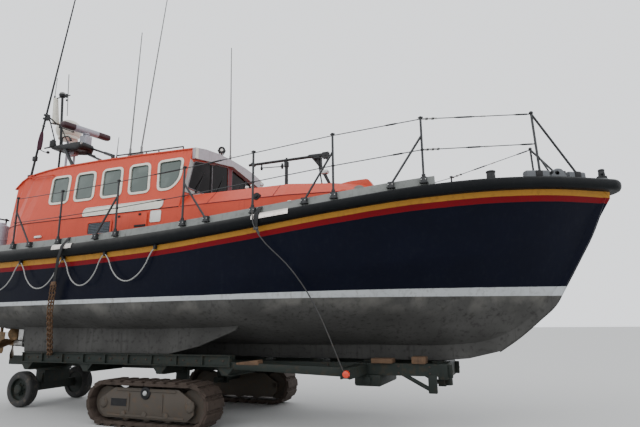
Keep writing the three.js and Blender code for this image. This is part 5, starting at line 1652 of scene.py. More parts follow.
# %% [markdown]
# The light mast leans a little aft. It carries the all-round lamp, a crossbar with two short
# aerials, a pale drum aerial behind it, and the forked clamp that the signal mast rests in. The
# fork is open aft, because the signal mast folds that way.

# %% Light mast
LIGHT_FOOT_Z, LIGHT_HEAD_Z, LIGHT_LEAN = 5.1623, 6.40, -0.11
CLAMP_PLACE = Vector((-4.425, -1.00, 5.74))
CLAMP_RISES = (0.035, -0.04)


def light_at(z):
    share = (z - LIGHT_FOOT_Z) / (LIGHT_HEAD_Z - LIGHT_FOOT_Z)
    return Vector((LIGHT_PLACE[0] + LIGHT_LEAN * share, LIGHT_PLACE[1], z))


def collar(z):
    """A fork round the signal mast, open to the stern."""
    centre = signal_at(z)
    outline = []
    for radius, angles in ((0.053, range(-110, 111, 20)), (0.030, range(110, -111, -20))):
        for degrees in angles:
            a = math.radians(degrees)
            outline.append((centre.x + radius * math.cos(a), centre.y + radius * math.sin(a)))
    return plate(outline, "z", z - 0.022, z + 0.022, edge=0.004, segments=1)


def make_light_mast():
    head = light_at(LIGHT_HEAD_Z)
    foot = light_at(LIGHT_FOOT_Z)
    side_foot = Vector((foot.x - 0.02, foot.y - 0.09, foot.z + 0.02))
    node_place = light_at(5.70)
    black = [
        rod(foot, head, 0.026, 16),
        rod(foot, foot + Vector((0, 0, 0.03)), 0.05, 20, edge=0.004),
        rod(head - Vector((0, 0, 0.03)), head + Vector((0, 0, 0.022)), 0.062, 24, 0.075, edge=0.005),
        rod((head.x - 0.26, head.y, 6.37), (head.x + 0.23, head.y, 6.37), 0.012, 10),
        rod((head.x + 0.130, head.y, 6.33), (head.x + 0.126, head.y, 6.42), 0.02, 10, edge=0.004),
        rod((head.x + 0.140, head.y, 6.25), (head.x + 0.138, head.y, 6.29), 0.018, 10, edge=0.004),
        rod((head.x - 0.230, head.y, 6.35), (head.x - 0.229, head.y, 6.44), 0.018, 10, edge=0.004),
        ball(node_place, 0.05, (1, 1, 0.8)),
        pipe([node_place, node_place + Vector((0.05, 0, -0.01)), node_place + Vector((0.11, 0, -0.01))],
             0.02),
        rod(node_place + Vector((0.03, 0, 0.07)), node_place + Vector((-0.03, 0, -0.06)), 0.036, 12,
            edge=0.008),
        rod(light_at(5.66), (-4.17, -0.65, 5.165), 0.010, 8),
        rod(light_at(5.65), (-4.11, -0.65, 5.50), 0.010, 8),
        rod((-4.15, -0.65, 5.507), (-4.10, -0.65, 5.497), 0.017, 8),
        rod(CLAMP_PLACE, side_foot, 0.013, 10),
        rod(foot, side_foot, 0.013, 10),
        block(CLAMP_PLACE - Vector((0.018, 0.055, 0.075)), CLAMP_PLACE + Vector((0.012, 0.02, 0.055)),
              0.008),
        pipe([CLAMP_PLACE, (-4.44, -0.90, 5.72), (-4.47, -0.78, 5.69), node_place], 0.015),
        pipe([CLAMP_PLACE - Vector((0, 0, 0.06)), (-4.435, -0.93, 5.64), (-4.455, -0.85, 5.66),
              (-4.475, -0.74, 5.69)], 0.012),
    ]
    for rise in CLAMP_RISES:
        black.append(collar(CLAMP_PLACE.z + rise))
    fitted(black, "light_mast_tubes", "rail_steel", MAST_BLACK, replaces=["light_mast"])
    drum = Vector((head.x - 0.19, head.y, 6.372))
    cap = rod(head + Vector((0, 0, 0.022)), head + Vector((0, 0, 0.075)), 0.073, 24, 0.05, edge=0.014)
    pale = [
        rod((drum.x + 0.07, drum.y, 5.77), drum, 0.072, 24, 0.046, edge=0.012),
        rod((drum.x + 0.06, drum.y, 5.80), light_at(5.64), 0.016, 10),
    ]
    fitted(pale, "drum_aerial", "gear_plastic", CREAM)
    short = [
        rod((head.x + 0.203, head.y, 5.90), (head.x + 0.126, head.y, 6.88), 0.009, 8),
        rod((head.x - 0.230, head.y, 6.36), (head.x - 0.215, head.y, 6.86), 0.008, 8),
    ]
    fitted(short, "crossbar_aerials", "gear_plastic", WHIP_GREY)
    fitted(cap, "masthead_lamp", "gear_plastic", LAMP_GREY)


def make_dome():
    """A smooth shell on its drum, with the seam where the shell is bolted on."""
    x, y, z = -4.71, -0.25, 5.76
    rise = 0.9
    shell = ball((x, y, z), 0.268, (1, 1, rise), 40, 24)
    drum = upright(x, y, z - 0.213, z - 0.10, 0.205, 40, edge=0.012)
    seam = upright(x, y, z - 0.012, z + 0.012, 0.2695, 48, edge=0.004)
    fitted([shell, drum, seam], "dome_shell", "gear_plastic", CREAM, replaces=["satellite_dome"])
    fitted(upright(x, y, z - 0.21, 4.40, 0.026, 16), "dome_post", "gear_plastic", LAVENDER)


WHIP_GREY = finish("whip_grey", (0.16, 0.165, 0.16), (0.08, 0.08, 0.08), 0.1, 0.1, 0.1, 0.5, 0.7, 0.03,
                   100, specular=0.3)
LAMP_GREY = finish("lamp_grey", (0.22, 0.22, 0.21), (0.08, 0.08, 0.08), 0.15, 0.15, 0.2, 0.4, 0.6, 0.04,
                   60, specular=0.4)
make_light_mast()
make_dome()
print("light mast and dome done")

# %% [markdown]
# The signal mast rakes forward from its hinge. A dark flag is furled round it, with the toggle of
# its halyard, and everything on it rides on its moving body. The flag is a gathered cloth: a tube
# with deep folds that grows fuller downward, then subdivided.

# %% Signal mast, flag and whip aerials
FLAG_TOP, FLAG_BOTTOM = 5.43, 5.03
WHIPS = [(-2.198, -1.0, -2.122, 7.132), (-1.935, -1.0, -1.555, 7.73), (-0.714, 0.1, -0.765, 7.086)]


def furled_flag():
    rows = []
    for i in range(9):
        share = i / 8
        z = FLAG_TOP + (FLAG_BOTTOM - FLAG_TOP) * share
        swell = 0.026 + 0.040 * share ** 0.7 * (1 - 0.45 * share ** 4)
        centre = signal_at(z) + Vector((0.012 + 0.048 * share, -0.012, 0))
        row = []
        for a in turns(16):
            fold = 1 + 0.22 * math.sin(3 * a + 2.0 * share) + 0.12 * math.sin(5 * a - 3.0 * share)
            row.append((centre.x + swell * fold * math.cos(a),
                        centre.y + swell * 0.75 * fold * math.sin(a), z))
        rows.append(row)
    piece = skinned(rows)
    apply_modifier(piece, "SUBSURF", levels=1, render_levels=1)
    return piece


def make_signal_mast():
    foot = SIGNAL_FOOT
    tube = rod(foot, SIGNAL_TIP, 0.024, 20, 0.013)
    knuckle = rod(foot - Vector((0, 0.037, 0)), foot + Vector((0, 0.037, 0)), 0.030, 20, edge=0.003)
    toggle = Vector((-4.31, -1.03, 4.95))
    low = signal_at(FLAG_BOTTOM) + Vector((0.05, 0, 0.03))
    cleat = signal_at(4.86)
    black = [
        tube, knuckle, ball(toggle, 0.034, (1, 1, 0.9), 14, 9),
        pipe([low, low.lerp(toggle, 0.5) + Vector((0, 0, -0.02)), toggle], 0.009),
        block(cleat - Vector((0.062, 0.032, 0.05)), cleat + Vector((0.035, 0.032, 0.05)), 0.012),
        rod(signal_at(5.55) - Vector((0, 0.03, 0)), signal_at(5.55) + Vector((0, 0.03, 0)), 0.012, 8),
    ]
    fitted(black, "signal_mast_tube", "rail_steel", MAST_BLACK, body="signal_mast",
           replaces=["signal_mast"])
    fitted(furled_flag(), "furled_flag", "gear_plastic", FLAG_CLOTH, body="signal_mast", angle=80)


def whip_aerial(x, y, tip_x, tip_z):
    return [upright(x, y, 4.50, 4.74, 0.022, 14, edge=0.004),
            rod((x, y, 4.73), (tip_x, y, tip_z), 0.0148, 12, 0.0088)]


def make_whips():
    base = block((-2.235, -1.03, 4.50), (-1.90, -0.97, 4.62), 0.012)
    fitted([*whip_aerial(*WHIPS[0]), *whip_aerial(*WHIPS[1]), base], "whips_side", "gear_plastic",
           WHIP_GREY, replaces=["whip_aerials_side"])
    fitted(whip_aerial(*WHIPS[2]), "whip_front", "gear_plastic", WHIP_GREY,
           replaces=["whip_aerial_front"])
    short = rod((-2.622, -0.90, 4.60), (-2.602, -0.90, 5.06), 0.010, 10, 0.006)
    fitted([short, rod((-2.622, -0.90, 4.58), (-2.62, -0.90, 4.66), 0.018, 12, edge=0.004)],
           "whip_short", "gear_plastic", WHIP_GREY)


FLAG_CLOTH = finish("flag_cloth", (0.048, 0.018, 0.028), (0.03, 0.015, 0.02), 0.2, 0.1, 0.1, 0.85, 0.9,
                    0.2, 300, specular=0.2)
make_signal_mast()
make_whips()
print("signal mast and aerials done")

# %% [markdown]
# The searchlight is a short drum in a yoke: a black bezel, a reflector and a domed lens. It is
# turned round its own axis from a profile of rings.

# %% Searchlight
LAMP_PLACE = Vector((-0.72, -0.20, 4.75))
LAMP_TOWARDS = Vector((0.55, -0.83, 0)).normalized()


def lathed(profile, place, towards, sides=28):
    """Rings of (distance along an axis, radius), joined into one skin."""
    turn = towards.to_track_quat("Z", "Y").to_matrix()
    return skinned([[place + turn @ Vector((radius * math.cos(a), radius * math.sin(a), along))
                     for a in turns(sides)] for along, radius in profile])


def make_searchlight():
    shell = lathed([(-0.060, 0.030), (-0.056, 0.044), (-0.040, 0.056), (-0.010, 0.062),
                    (0.030, 0.064), (0.034, 0.066), (0.050, 0.066), (0.050, 0.034), (0.034, 0.032),
                    (0.028, 0.020)], LAMP_PLACE, LAMP_TOWARDS)
    across = Vector((-LAMP_TOWARDS.y, LAMP_TOWARDS.x, 0))
    yoke = []
    for side in (-1, 1):
        hinge = LAMP_PLACE + across * (side * 0.072)
        yoke.append(rod(hinge - across * (side * 0.012), hinge + across * (side * 0.006), 0.014, 12))
        yoke.append(rod(hinge, LAMP_PLACE + Vector((0, 0, -0.088)) + across * (side * 0.03), 0.008, 8))
    post = rod((LAMP_PLACE.x, LAMP_PLACE.y, 4.52), LAMP_PLACE - Vector((0, 0, 0.075)), 0.024, 18,
               edge=0.004)
    fitted([shell, post, *yoke], "searchlight_case", "rail_steel", MAST_BLACK, replaces=["searchlight"])
    lens = lathed([(0.036, 0.031), (0.042, 0.028), (0.046, 0.016), (0.047, 0.004)],
                  LAMP_PLACE, LAMP_TOWARDS)
    fitted(lens, "searchlight_lens", "window_glass", WHITE)


make_searchlight()
print("searchlight done")

# %% [markdown]
# The recovery davit stands on the forward trunk: a post with a flange, and a slim boom that slews
# on it, with a hand winch at its tail, a crank under it and a wheel at its head. A crutch holds the
# boom's head at rest. What slews rides on the boom's body.

# %% Recovery davit
DAVIT_X, DAVIT_Y, DAVIT_Z = 0.87, -0.65, 4.21


def davit_point(x, z, y=0.0):
    return Vector((x, DAVIT_Y + y, z))


def make_davit():
    x, y, z = DAVIT_X, DAVIT_Y, DAVIT_Z
    post = [
        rod(davit_point(x, 3.645), davit_point(x, z - 0.046), 0.030, 20, 0.028),
        rod(davit_point(x, 3.64), davit_point(x, 3.695), 0.080, 28, 0.070, edge=0.006),
        rod(davit_point(x, 3.69), davit_point(x, 3.76), 0.045, 20, 0.032, edge=0.006),
        rod(davit_point(x, z - 0.08), davit_point(x, z + 0.034), 0.0155, 16),
        slab((x, 1.69), y, 0.018, (3.645, 3.685), 0.006),
        rod(davit_point(1.69, 3.60), davit_point(1.445, z - 0.075), 0.020, 16),
        rod(davit_point(1.665, 3.66), davit_point(1.53, 3.94), 0.024, 14, 0.030, edge=0.008),
        plate([(1.335, z - 0.033), (1.51, z - 0.033), (1.515, z - 0.22), (1.485, z - 0.25),
               (1.46, z - 0.19), (1.40, z - 0.11)], "y", y - 0.024, y + 0.024, edge=0.006),
        rod((1.52, y, 3.65), (1.46, y - 0.045, z - 0.08), 0.012, 10),
        slab((1.385, 1.49), y, 0.056, (z - 0.078, z - 0.045), 0.01),
    ]
    for a in turns(6):
        bolt = Vector((x + 0.06 * math.cos(a), y + 0.06 * math.sin(a), 3.69))
        post.append(rod(bolt, bolt + Vector((0, 0, 0.016)), 0.009, 6))
    for side in (-1, 1):
        post.append(slab((1.385, 1.49), y + side * 0.05, 0.006, (z - 0.07, z - 0.031), 0.003, 1))
    fitted(post, "davit_post_tubes", "rail_steel", MAST_BLACK, replaces=["davit_post"])
    winch = [slab((1.50, 1.62), y, 0.035, (3.88, 3.95), 0.014, 3),
             crosswise(1.60, 3.92, y - 0.04, y + 0.04, 0.028, 16, edge=0.006)]
    fitted(winch, "davit_hand_winch", "rail_steel", GALVANISED)
    boom = [
        rod(davit_point(0.15, z), davit_point(1.59, z), 0.0235, 18),
        rod(davit_point(0.23, z, -0.05), davit_point(0.23, z, 0.05), 0.030, 16, edge=0.006),
        rod(davit_point(0.397, z - 0.01), davit_point(0.397, z - 0.105), 0.014, 12),
        rod(davit_point(0.397, z - 0.070), davit_point(0.397, z - 0.118), 0.026, 14, 0.018, edge=0.006),
        rod(davit_point(0.40, z - 0.078), davit_point(0.775, z - 0.100), 0.009, 10),
        ball(davit_point(0.790, z - 0.096), 0.034, (0.8, 0.8, 1.1), 14, 9),
        rod(davit_point(0.79, z - 0.045), davit_point(0.79, z - 0.145), 0.018, 12, edge=0.006),
        upright(x, y, z - 0.12, z - 0.036, 0.042, 24),
        upright(x, y, z - 0.036, z + 0.038, 0.018, 24),
        plate([(1.265, z + 0.024), (1.285, z - 0.022), (1.40, z - 0.0255), (1.52, z - 0.0255),
               (1.53, z + 0.03), (1.30, z + 0.034)], "y", y - 0.026, y + 0.026, edge=0.006),
        rod(davit_point(1.58, z - 0.008, -0.018), davit_point(1.58, z - 0.008, 0.018), 0.05, 28,
            edge=0.006),
        rod(davit_point(1.58, z - 0.008, -0.036), davit_point(1.58, z - 0.008, 0.036), 0.018, 14),
        rod(davit_point(1.60, z - 0.07), davit_point(1.60, z - 0.11), 0.010, 8),
        ball(davit_point(1.60, z - 0.12), 0.018, (1, 1, 1.2), 10, 7),
    ]
    for side in (-1, 1):
        boom.append(slab((1.525, 1.64), y + side * 0.025, 0.004, (z - 0.066, z + 0.042), 0.003, 1))
    fitted(boom, "davit_boom_tube", "rail_steel", MAST_BLACK, body="davit_boom",
           replaces=["davit_boom"])


make_davit()
print("davit done")

# %% [markdown]
# The forward trunk keeps its imported shape. Along it runs the dark joint of the
# seam. On it stand a round filler, a pale lamp, two small vents, and at each front corner a raised
# cowl with a grey half-round opening, as the photograph shows it behind the rail.

# %% Fittings on the trunk
TRUNK = [
    # x, half at the seam, half at the top, z of the top edge
    (-0.6497, 1.49, 1.215, 3.625), (1.2, 1.46, 1.19, 3.62), (1.85, 1.36, 1.12, 3.575),
    (2.32, 1.23, 1.01, 3.53), (2.48, 1.18, 0.96, 3.51), (2.64, 1.12, 0.90, 3.23),
]
COWL = [
    (1.90, 3.50), (2.44, 3.44), (2.455, 3.50), (2.40, 3.595), (2.365, 3.612), (2.12, 3.607),
    (1.90, 3.575),
]


def trunk_at(x):
    for a, b in zip(TRUNK, TRUNK[1:]):
        if x <= b[0]:
            share = (x - a[0]) / (b[0] - a[0])
            return [p * (1 - share) + q * share for p, q in zip(a, b)]
    return list(TRUNK[-1])


def make_trunk_fittings():
    joint_xs = [-0.62 + 0.1 * i for i in range(31)]
    joint = pipe([(x, -trunk_at(x)[1] - 0.002, SEAM_Z) for x in joint_xs], 0.006, sides=1)
    seams = [joint]
    for x in (-0.12, 1.03):
        _, low, high, top = trunk_at(x)
        seams.append(pipe([(x, -low - 0.002, SEAM_Z), (x, -high - 0.003, top)], 0.004, sides=1,
                          bend="VECTOR"))
    both_sides(seams, "trunk_joint", "orange_paint", DARK_RED)
    filler = [rod((0.76, -1.40, 3.395), (0.76, -1.475, 3.405), 0.060, 24, edge=0.01),
              rod((0.76, -1.46, 3.403), (0.76, -1.492, 3.407), 0.030, 18, edge=0.006)]
    both_sides(filler, "round_filler", "rail_steel", BLACK)
    lamp = [ball((0.39, -1.12, 3.668), 0.032, (1, 1, 0.8), 16, 10),
            upright(0.39, -1.12, 3.62, 3.66, 0.016, 12)]
    both_sides(lamp, "deck_lamp", "gear_plastic", WHITE)
    vents = []
    for x in (0.44, 0.62):
        vents.append(upright(x, -1.04, 3.62, 3.71, 0.016, 14))
        vents.append(upright(x, -1.04, 3.695, 3.735, 0.036, 18, 0.026, edge=0.008))
    both_sides(vents, "small_vents", "gear_plastic", GALVANISED)
    cowl = plate(COWL, "y", -1.025, -0.84, edge=0.014, segments=3)
    cleat = block((2.06, -1.33, 3.355), (2.14, -1.24, 3.40), 0.012)
    both_sides([cowl, cleat], "front_cowl", "orange_paint", ORANGE)
    arch = [(2.29 + 0.108 * math.cos(math.pi * i / 14), 3.372 + 0.108 * math.sin(math.pi * i / 14))
            for i in range(15)]
    mouth = plate(arch, "y", -1.18, -1.02, edge=0.008)
    both_sides(mouth, "cowl_mouth", "gear_plastic", MOUTH_GREY)
    strips = []
    for i in range(5):
        a = trunk_at(-0.2 + 0.5 * i)
        strips.append(block((a[0] - 0.13, -0.34, a[3] + 0.048), (a[0] + 0.13, -0.28, a[3] + 0.058),
                            0.004, 1))
    both_sides(strips, "trunk_grip_strips", "fender_rubber", BLACK)


MOUTH_GREY = finish("mouth_grey", (0.16, 0.165, 0.15), (0.09, 0.085, 0.08), 0.2, 0.3, 0.3, 0.7, 0.85,
                    0.1, 80)
make_trunk_fittings()
print("trunk fittings done")

# %% [markdown]
# The corner posts, the sill and the centre post of the windscreen carry covers of other colours
# than the wall: pale grey at the corners and the sill, dark red in the middle. They are thin
# panels on the front wall.

# %% Windscreen covers and hood trim
PILLAR = [(-1.288, 3.70), (-1.152, 4.225), (-1.238, 4.262), (-1.392, 3.70)]
SILL = [(-1.392, 3.648), (-1.392, 3.70), (-1.30, 3.72), (-0.08, 3.715), (-0.08, 3.66)]
HOOD_FRONT = -0.59


def front_panel(outline, x, proud, edge=0.002):
    return plate(outline, "x", x, x + proud, edge=edge, segments=1)


def make_windscreen_covers():
    pale = joined([front_panel(PILLAR, CABIN_FRONT, 0.006), front_panel(SILL, CABIN_FRONT, 0.012)])
    both_sides(pale, "windscreen_cover", "pale_paint", PALE)
    centre = [(-0.060, 3.70), (0.060, 3.70), (0.060, 4.442), (-0.060, 4.442)]
    fitted(front_panel(centre, CABIN_FRONT, 0.014, 0.004), "windscreen_centre_post", "pale_paint",
           DARK_RED)
    end = [(-1.188, 4.281), (-1.105, 4.294), (-1.105, 4.484), (-1.188, 4.468)]
    both_sides(front_panel(end, HOOD_FRONT, 0.004), "hood_end", "pale_paint", CREAM)
    gutter = pipe([(HOOD_FRONT + 0.004, y, 4.4665 - 0.16 * abs(y) / 1.19 - 0.03 * abs(y) / 1.19)
                   for y in [-1.17 + 0.117 * i for i in range(21)]], 0.006, sides=1)
    fitted(gutter, "hood_drip_edge", "pale_paint", PALE)


make_windscreen_covers()
print("windscreen covers done")

# %% [markdown]
# The aft door is a rounded leaf with a raised panel, a small blank port, a lever handle and hinge
# leaves. The hatch lid has rounded edges, a handle and two hinges. Both ride on
# their moving bodies.

# %% Door and hatch lid
DOOR_X = -4.84
DOOR_LOW, DOOR_HIGH, DOOR_HALF = 3.022, 4.205, 0.37
HATCH_X, HATCH_TOP = 3.08, 3.42


def make_door():
    outline = rounded_outline([(-DOOR_HALF, DOOR_LOW), (DOOR_HALF, DOOR_LOW), (DOOR_HALF, DOOR_HIGH),
                               (-DOOR_HALF, DOOR_HIGH)], 0.07)
    panel = rounded_outline([(-0.27, 3.13), (0.27, 3.13), (0.27, 3.62), (-0.27, 3.62)], 0.05)
    leaf = [plate(outline, "x", DOOR_X - 0.04, DOOR_X, edge=0.008),
            plate(panel, "x", DOOR_X - 0.050, DOOR_X - 0.036, edge=0.005)]
    for z in (3.20, 3.60, 4.02):
        leaf.append(block((DOOR_X - 0.052, 0.21, z - 0.035), (DOOR_X - 0.036, 0.368, z + 0.035), 0.004))
    fitted(leaf, "aft_door_leaf", "orange_paint", ORANGE, body="aft_door", replaces=["aft_door"])
    steel = [block((DOOR_X - 0.085, -0.33, 3.56), (DOOR_X - 0.065, -0.27, 3.59), 0.006),
             rod((DOOR_X - 0.04, -0.28, 3.575), (DOOR_X - 0.075, -0.28, 3.575), 0.014, 14),
             crosswise(DOOR_X - 0.075, 3.575, -0.31, -0.13, 0.010, 12),
             upright(DOOR_X - 0.04, 0.37, 3.12, 4.10, 0.009, 12)]
    port = rounded_outline([(-0.16, 3.72), (0.16, 3.72), (0.16, 4.08), (-0.16, 4.08)], 0.07)
    ring = ring_plate(port, 0.03, 0.014, axis="x", edge=0.003)
    ring.location.x = DOOR_X - 0.052
    steel.append(settle(ring))
    fitted(steel, "aft_door_fittings", "steel", STEEL, body="aft_door")
    glass = plate(port, "x", DOOR_X - 0.046, DOOR_X - 0.041)
    fitted(glass, "aft_door_port", "window_glass", DARK_GLASS, body="aft_door")


def make_hatch():
    x, top = HATCH_X, HATCH_TOP
    lid = [slab((x - 0.32, x + 0.32), 0, 0.32, (top + 0.006, top + 0.05), 0.014, 3),
           slab((x - 0.24, x + 0.24), 0, 0.24, (top + 0.046, top + 0.058), 0.01)]
    fitted(lid, "hatch_lid_leaf", "orange_paint", ORANGE, body="hatch_lid", replaces=["hatch_lid"])
    steel = [pipe([(x + 0.17, -0.09, top + 0.055), (x + 0.17, -0.075, top + 0.092),
                   (x + 0.17, 0, top + 0.098), (x + 0.17, 0.075, top + 0.092),
                   (x + 0.17, 0.09, top + 0.055)], 0.009)]
    for side in (-1, 1):
        steel.append(slab((x - 0.315, x - 0.20), side * 0.2, 0.035, (top + 0.048, top + 0.056), 0.003, 1))
    fitted(steel, "hatch_lid_fittings", "steel", STEEL, body="hatch_lid")


make_door()
make_hatch()
print("door and hatch lid done")

# %% [markdown]
# On the foredeck stand two bollards and the bow post, each a turned post with a cap. On the
# quarters stand short stern rails and a rounded drum. They are cones and boxes with rounded edges.

# %% Foredeck and stern fittings


def make_bollards():
    post = [
        block((4.03, -0.76, 3.36), (4.25, -0.54, 3.45), 0.02, 3),
        block((3.97, -0.70, 3.44), (4.25, -0.60, 3.478), 0.012, 2),
        upright(4.10, -0.65, 3.44, 3.60, 0.064, 28, 0.060, edge=0.006),
        upright(4.10, -0.65, 3.590, 3.615, 0.070, 28, 0.066, edge=0.008),
    ]
    both_sides(post, "bollard_turned", "rail_steel", MAST_BLACK, replaces=["bollard"])
    bow = [
        slab((5.50, 5.635), 0, 0.062, (3.44, 3.53), 0.014, 3),
        upright(5.575, 0, 3.51, 3.625, 0.050, 28, 0.040, edge=0.008),
        crosswise(5.575, 3.56, -0.11, 0.11, 0.018, 16, edge=0.005),
        upright(5.575, 0, 3.615, 3.640, 0.048, 28, 0.040, edge=0.008),
    ]
    fitted(bow, "bow_post_turned", "rail_steel", MAST_BLACK, replaces=["bow_post"])


def make_stern_fittings():
    rail = []
    for y in (-0.86, -1.38):
        rail.append(upright(-5.52, y, 2.86, 3.68, 0.017, 12))
        rail.append(upright(-5.52, y, 2.86, 2.90, 0.045, 16, 0.030, edge=0.006))
        rail.append(ball((-5.52, y, 3.69), 0.032, (1, 1, 0.8), 12, 8))
    rail.append(crosswise(-5.52, 3.68, -0.80, -1.44, 0.017, 12))
    rail.append(crosswise(-5.52, 3.28, -0.86, -1.38, 0.012, 10))
    both_sides(rail, "stern_rail", "rail_steel", RAIL_BLACK)
    drum = [upright(-5.30, -1.10, 2.86, 3.50, 0.15, 28, edge=0.03),
            upright(-5.30, -1.10, 3.49, 3.56, 0.10, 24, 0.07, edge=0.02),
            upright(-5.30, -1.10, 3.18, 3.22, 0.156, 28, edge=0.006)]
    fitted(drum, "quarter_drum", "gear_plastic", LAVENDER)
    transom = []
    for side in (-1, 1):
        flap = rod((-5.70, side * 1.15, 2.16), (-5.725, side * 1.15, 2.16), 0.085, 24, edge=0.006)
        eye = rod((-5.70, side * 0.55, 2.55), (-5.722, side * 0.55, 2.55), 0.05, 20, edge=0.005)
        hoop = pipe([(-5.715, side * 0.55, 2.50), (-5.76, side * 0.55, 2.52),
                     (-5.76, side * 0.55, 2.58), (-5.715, side * 0.55, 2.60)], 0.010)
        anode = slab((-5.722, -5.699), side * 0.72, 0.10, (1.80, 1.87), 0.008)
        transom += [flap, eye, hoop, anode]
    fitted(transom, "transom_fittings", "steel", STEEL)


make_bollards()
make_stern_fittings()
print("foredeck and stern fittings done")

# %% [markdown]
# A track is one steel shoe, repeated: a plate with a raised pad across it and bolts at both ends.
# It is modelled once and copied round the loop, each copy laid on the chord between two places of
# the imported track, so no shoe stands outside it. Inside run two idlers and three small rollers
# between two side plates.

# %% Tracks and bogies
AXLE_X, AXLE_Z = -1.06, 0.505
TRACK_HALF, TRACK_RADIUS, TRACK_SHOES = 0.81, 0.34, 26
TRACK_OUTER, TRACK_INNER = -1.55, -1.10
SHOE_DEPTH = 0.076
IDLER_RADIUS = 0.252
ROLLER_RADIUS = 0.11
BOGIE_PLATE = [
    (-0.88, 0.23), (-0.76, 0.13), (0.76, 0.13), (0.88, 0.23), (0.88, 0.40), (0.60, 0.57),
    (-0.60, 0.57), (-0.88, 0.40),
]


def loop_point(distance):
    """A place on the outside of the track, this far round it from its first low corner."""
    straight, arc = 2 * TRACK_HALF, math.pi * TRACK_RADIUS
    d = distance % (2 * (straight + arc))
    if d < straight:
        return Vector((AXLE_X - TRACK_HALF + d, 0, 0))
    if d < straight + arc:
        a = (d - straight) / TRACK_RADIUS - math.pi / 2
        return Vector((AXLE_X + TRACK_HALF + TRACK_RADIUS * math.cos(a), 0,
                       TRACK_RADIUS + TRACK_RADIUS * math.sin(a)))
    if d < 2 * straight + arc:
        return Vector((AXLE_X + TRACK_HALF - (d - straight - arc), 0, 2 * TRACK_RADIUS))
    a = (d - 2 * straight - arc) / TRACK_RADIUS + math.pi / 2
    return Vector((AXLE_X - TRACK_HALF + TRACK_RADIUS * math.cos(a), 0,
                   TRACK_RADIUS + TRACK_RADIUS * math.sin(a)))


def make_shoe(pitch):
    """One shoe with its outside at z 0 and its inside above it, lying along x."""
    half = pitch / 2
    pad = [(-0.32 * pitch, 0.030), (-0.30 * pitch, 0.004), (-0.27 * pitch, 0.0), (0.27 * pitch, 0.0),
           (0.31 * pitch, 0.006), (0.34 * pitch, 0.034)]
    body = [
        plate([(-half + 0.004, 0.030), (half - 0.004, 0.030), (half - 0.004, 0.050),
               (half - 0.020, SHOE_DEPTH), (-half + 0.020, SHOE_DEPTH), (-half + 0.004, 0.050)],
              "y", TRACK_OUTER + 0.004, TRACK_INNER - 0.004, edge=0.005, segments=1),
        plate(pad, "y", TRACK_OUTER + 0.012, TRACK_INNER - 0.012, edge=0.003, segments=1),
    ]
    for y in (TRACK_OUTER + 0.07, TRACK_OUTER + 0.15, TRACK_INNER - 0.15, TRACK_INNER - 0.07):
        body.append(upright(-0.40 * pitch, y, 0.016, 0.034, 0.012, 6))
    for y in (TRACK_OUTER, TRACK_INNER):
        inward = math.copysign(0.014, TRACK_INNER + TRACK_OUTER - 2 * y) * -1
        body.append(crosswise(-half, 0.055, y, y - inward, 0.019, 12))
    return joined(body)


def make_track():
    total = 2 * (2 * TRACK_HALF + math.pi * TRACK_RADIUS)
    pitch = total / TRACK_SHOES
    first = make_shoe(pitch)
    shoes = []
    for i in range(TRACK_SHOES):
        start = loop_point((i + 0.26) * pitch)
        end = loop_point((i + 0.92) * pitch)
        along = (end - start).normalized()
        turn = Matrix.Rotation(-math.atan2(along.z, along.x), 4, "Y")
        one = copied(first)
        one.matrix_world = Matrix.Translation((start + end) / 2) @ turn
        shoes.append(settle(one))
    bpy.data.objects.remove(first, do_unlink=True)
    both_sides(shoes, "track_shoes", "track_steel", TRACK_WITH_PAINTED_SHADE, replaces=["track_loop"])


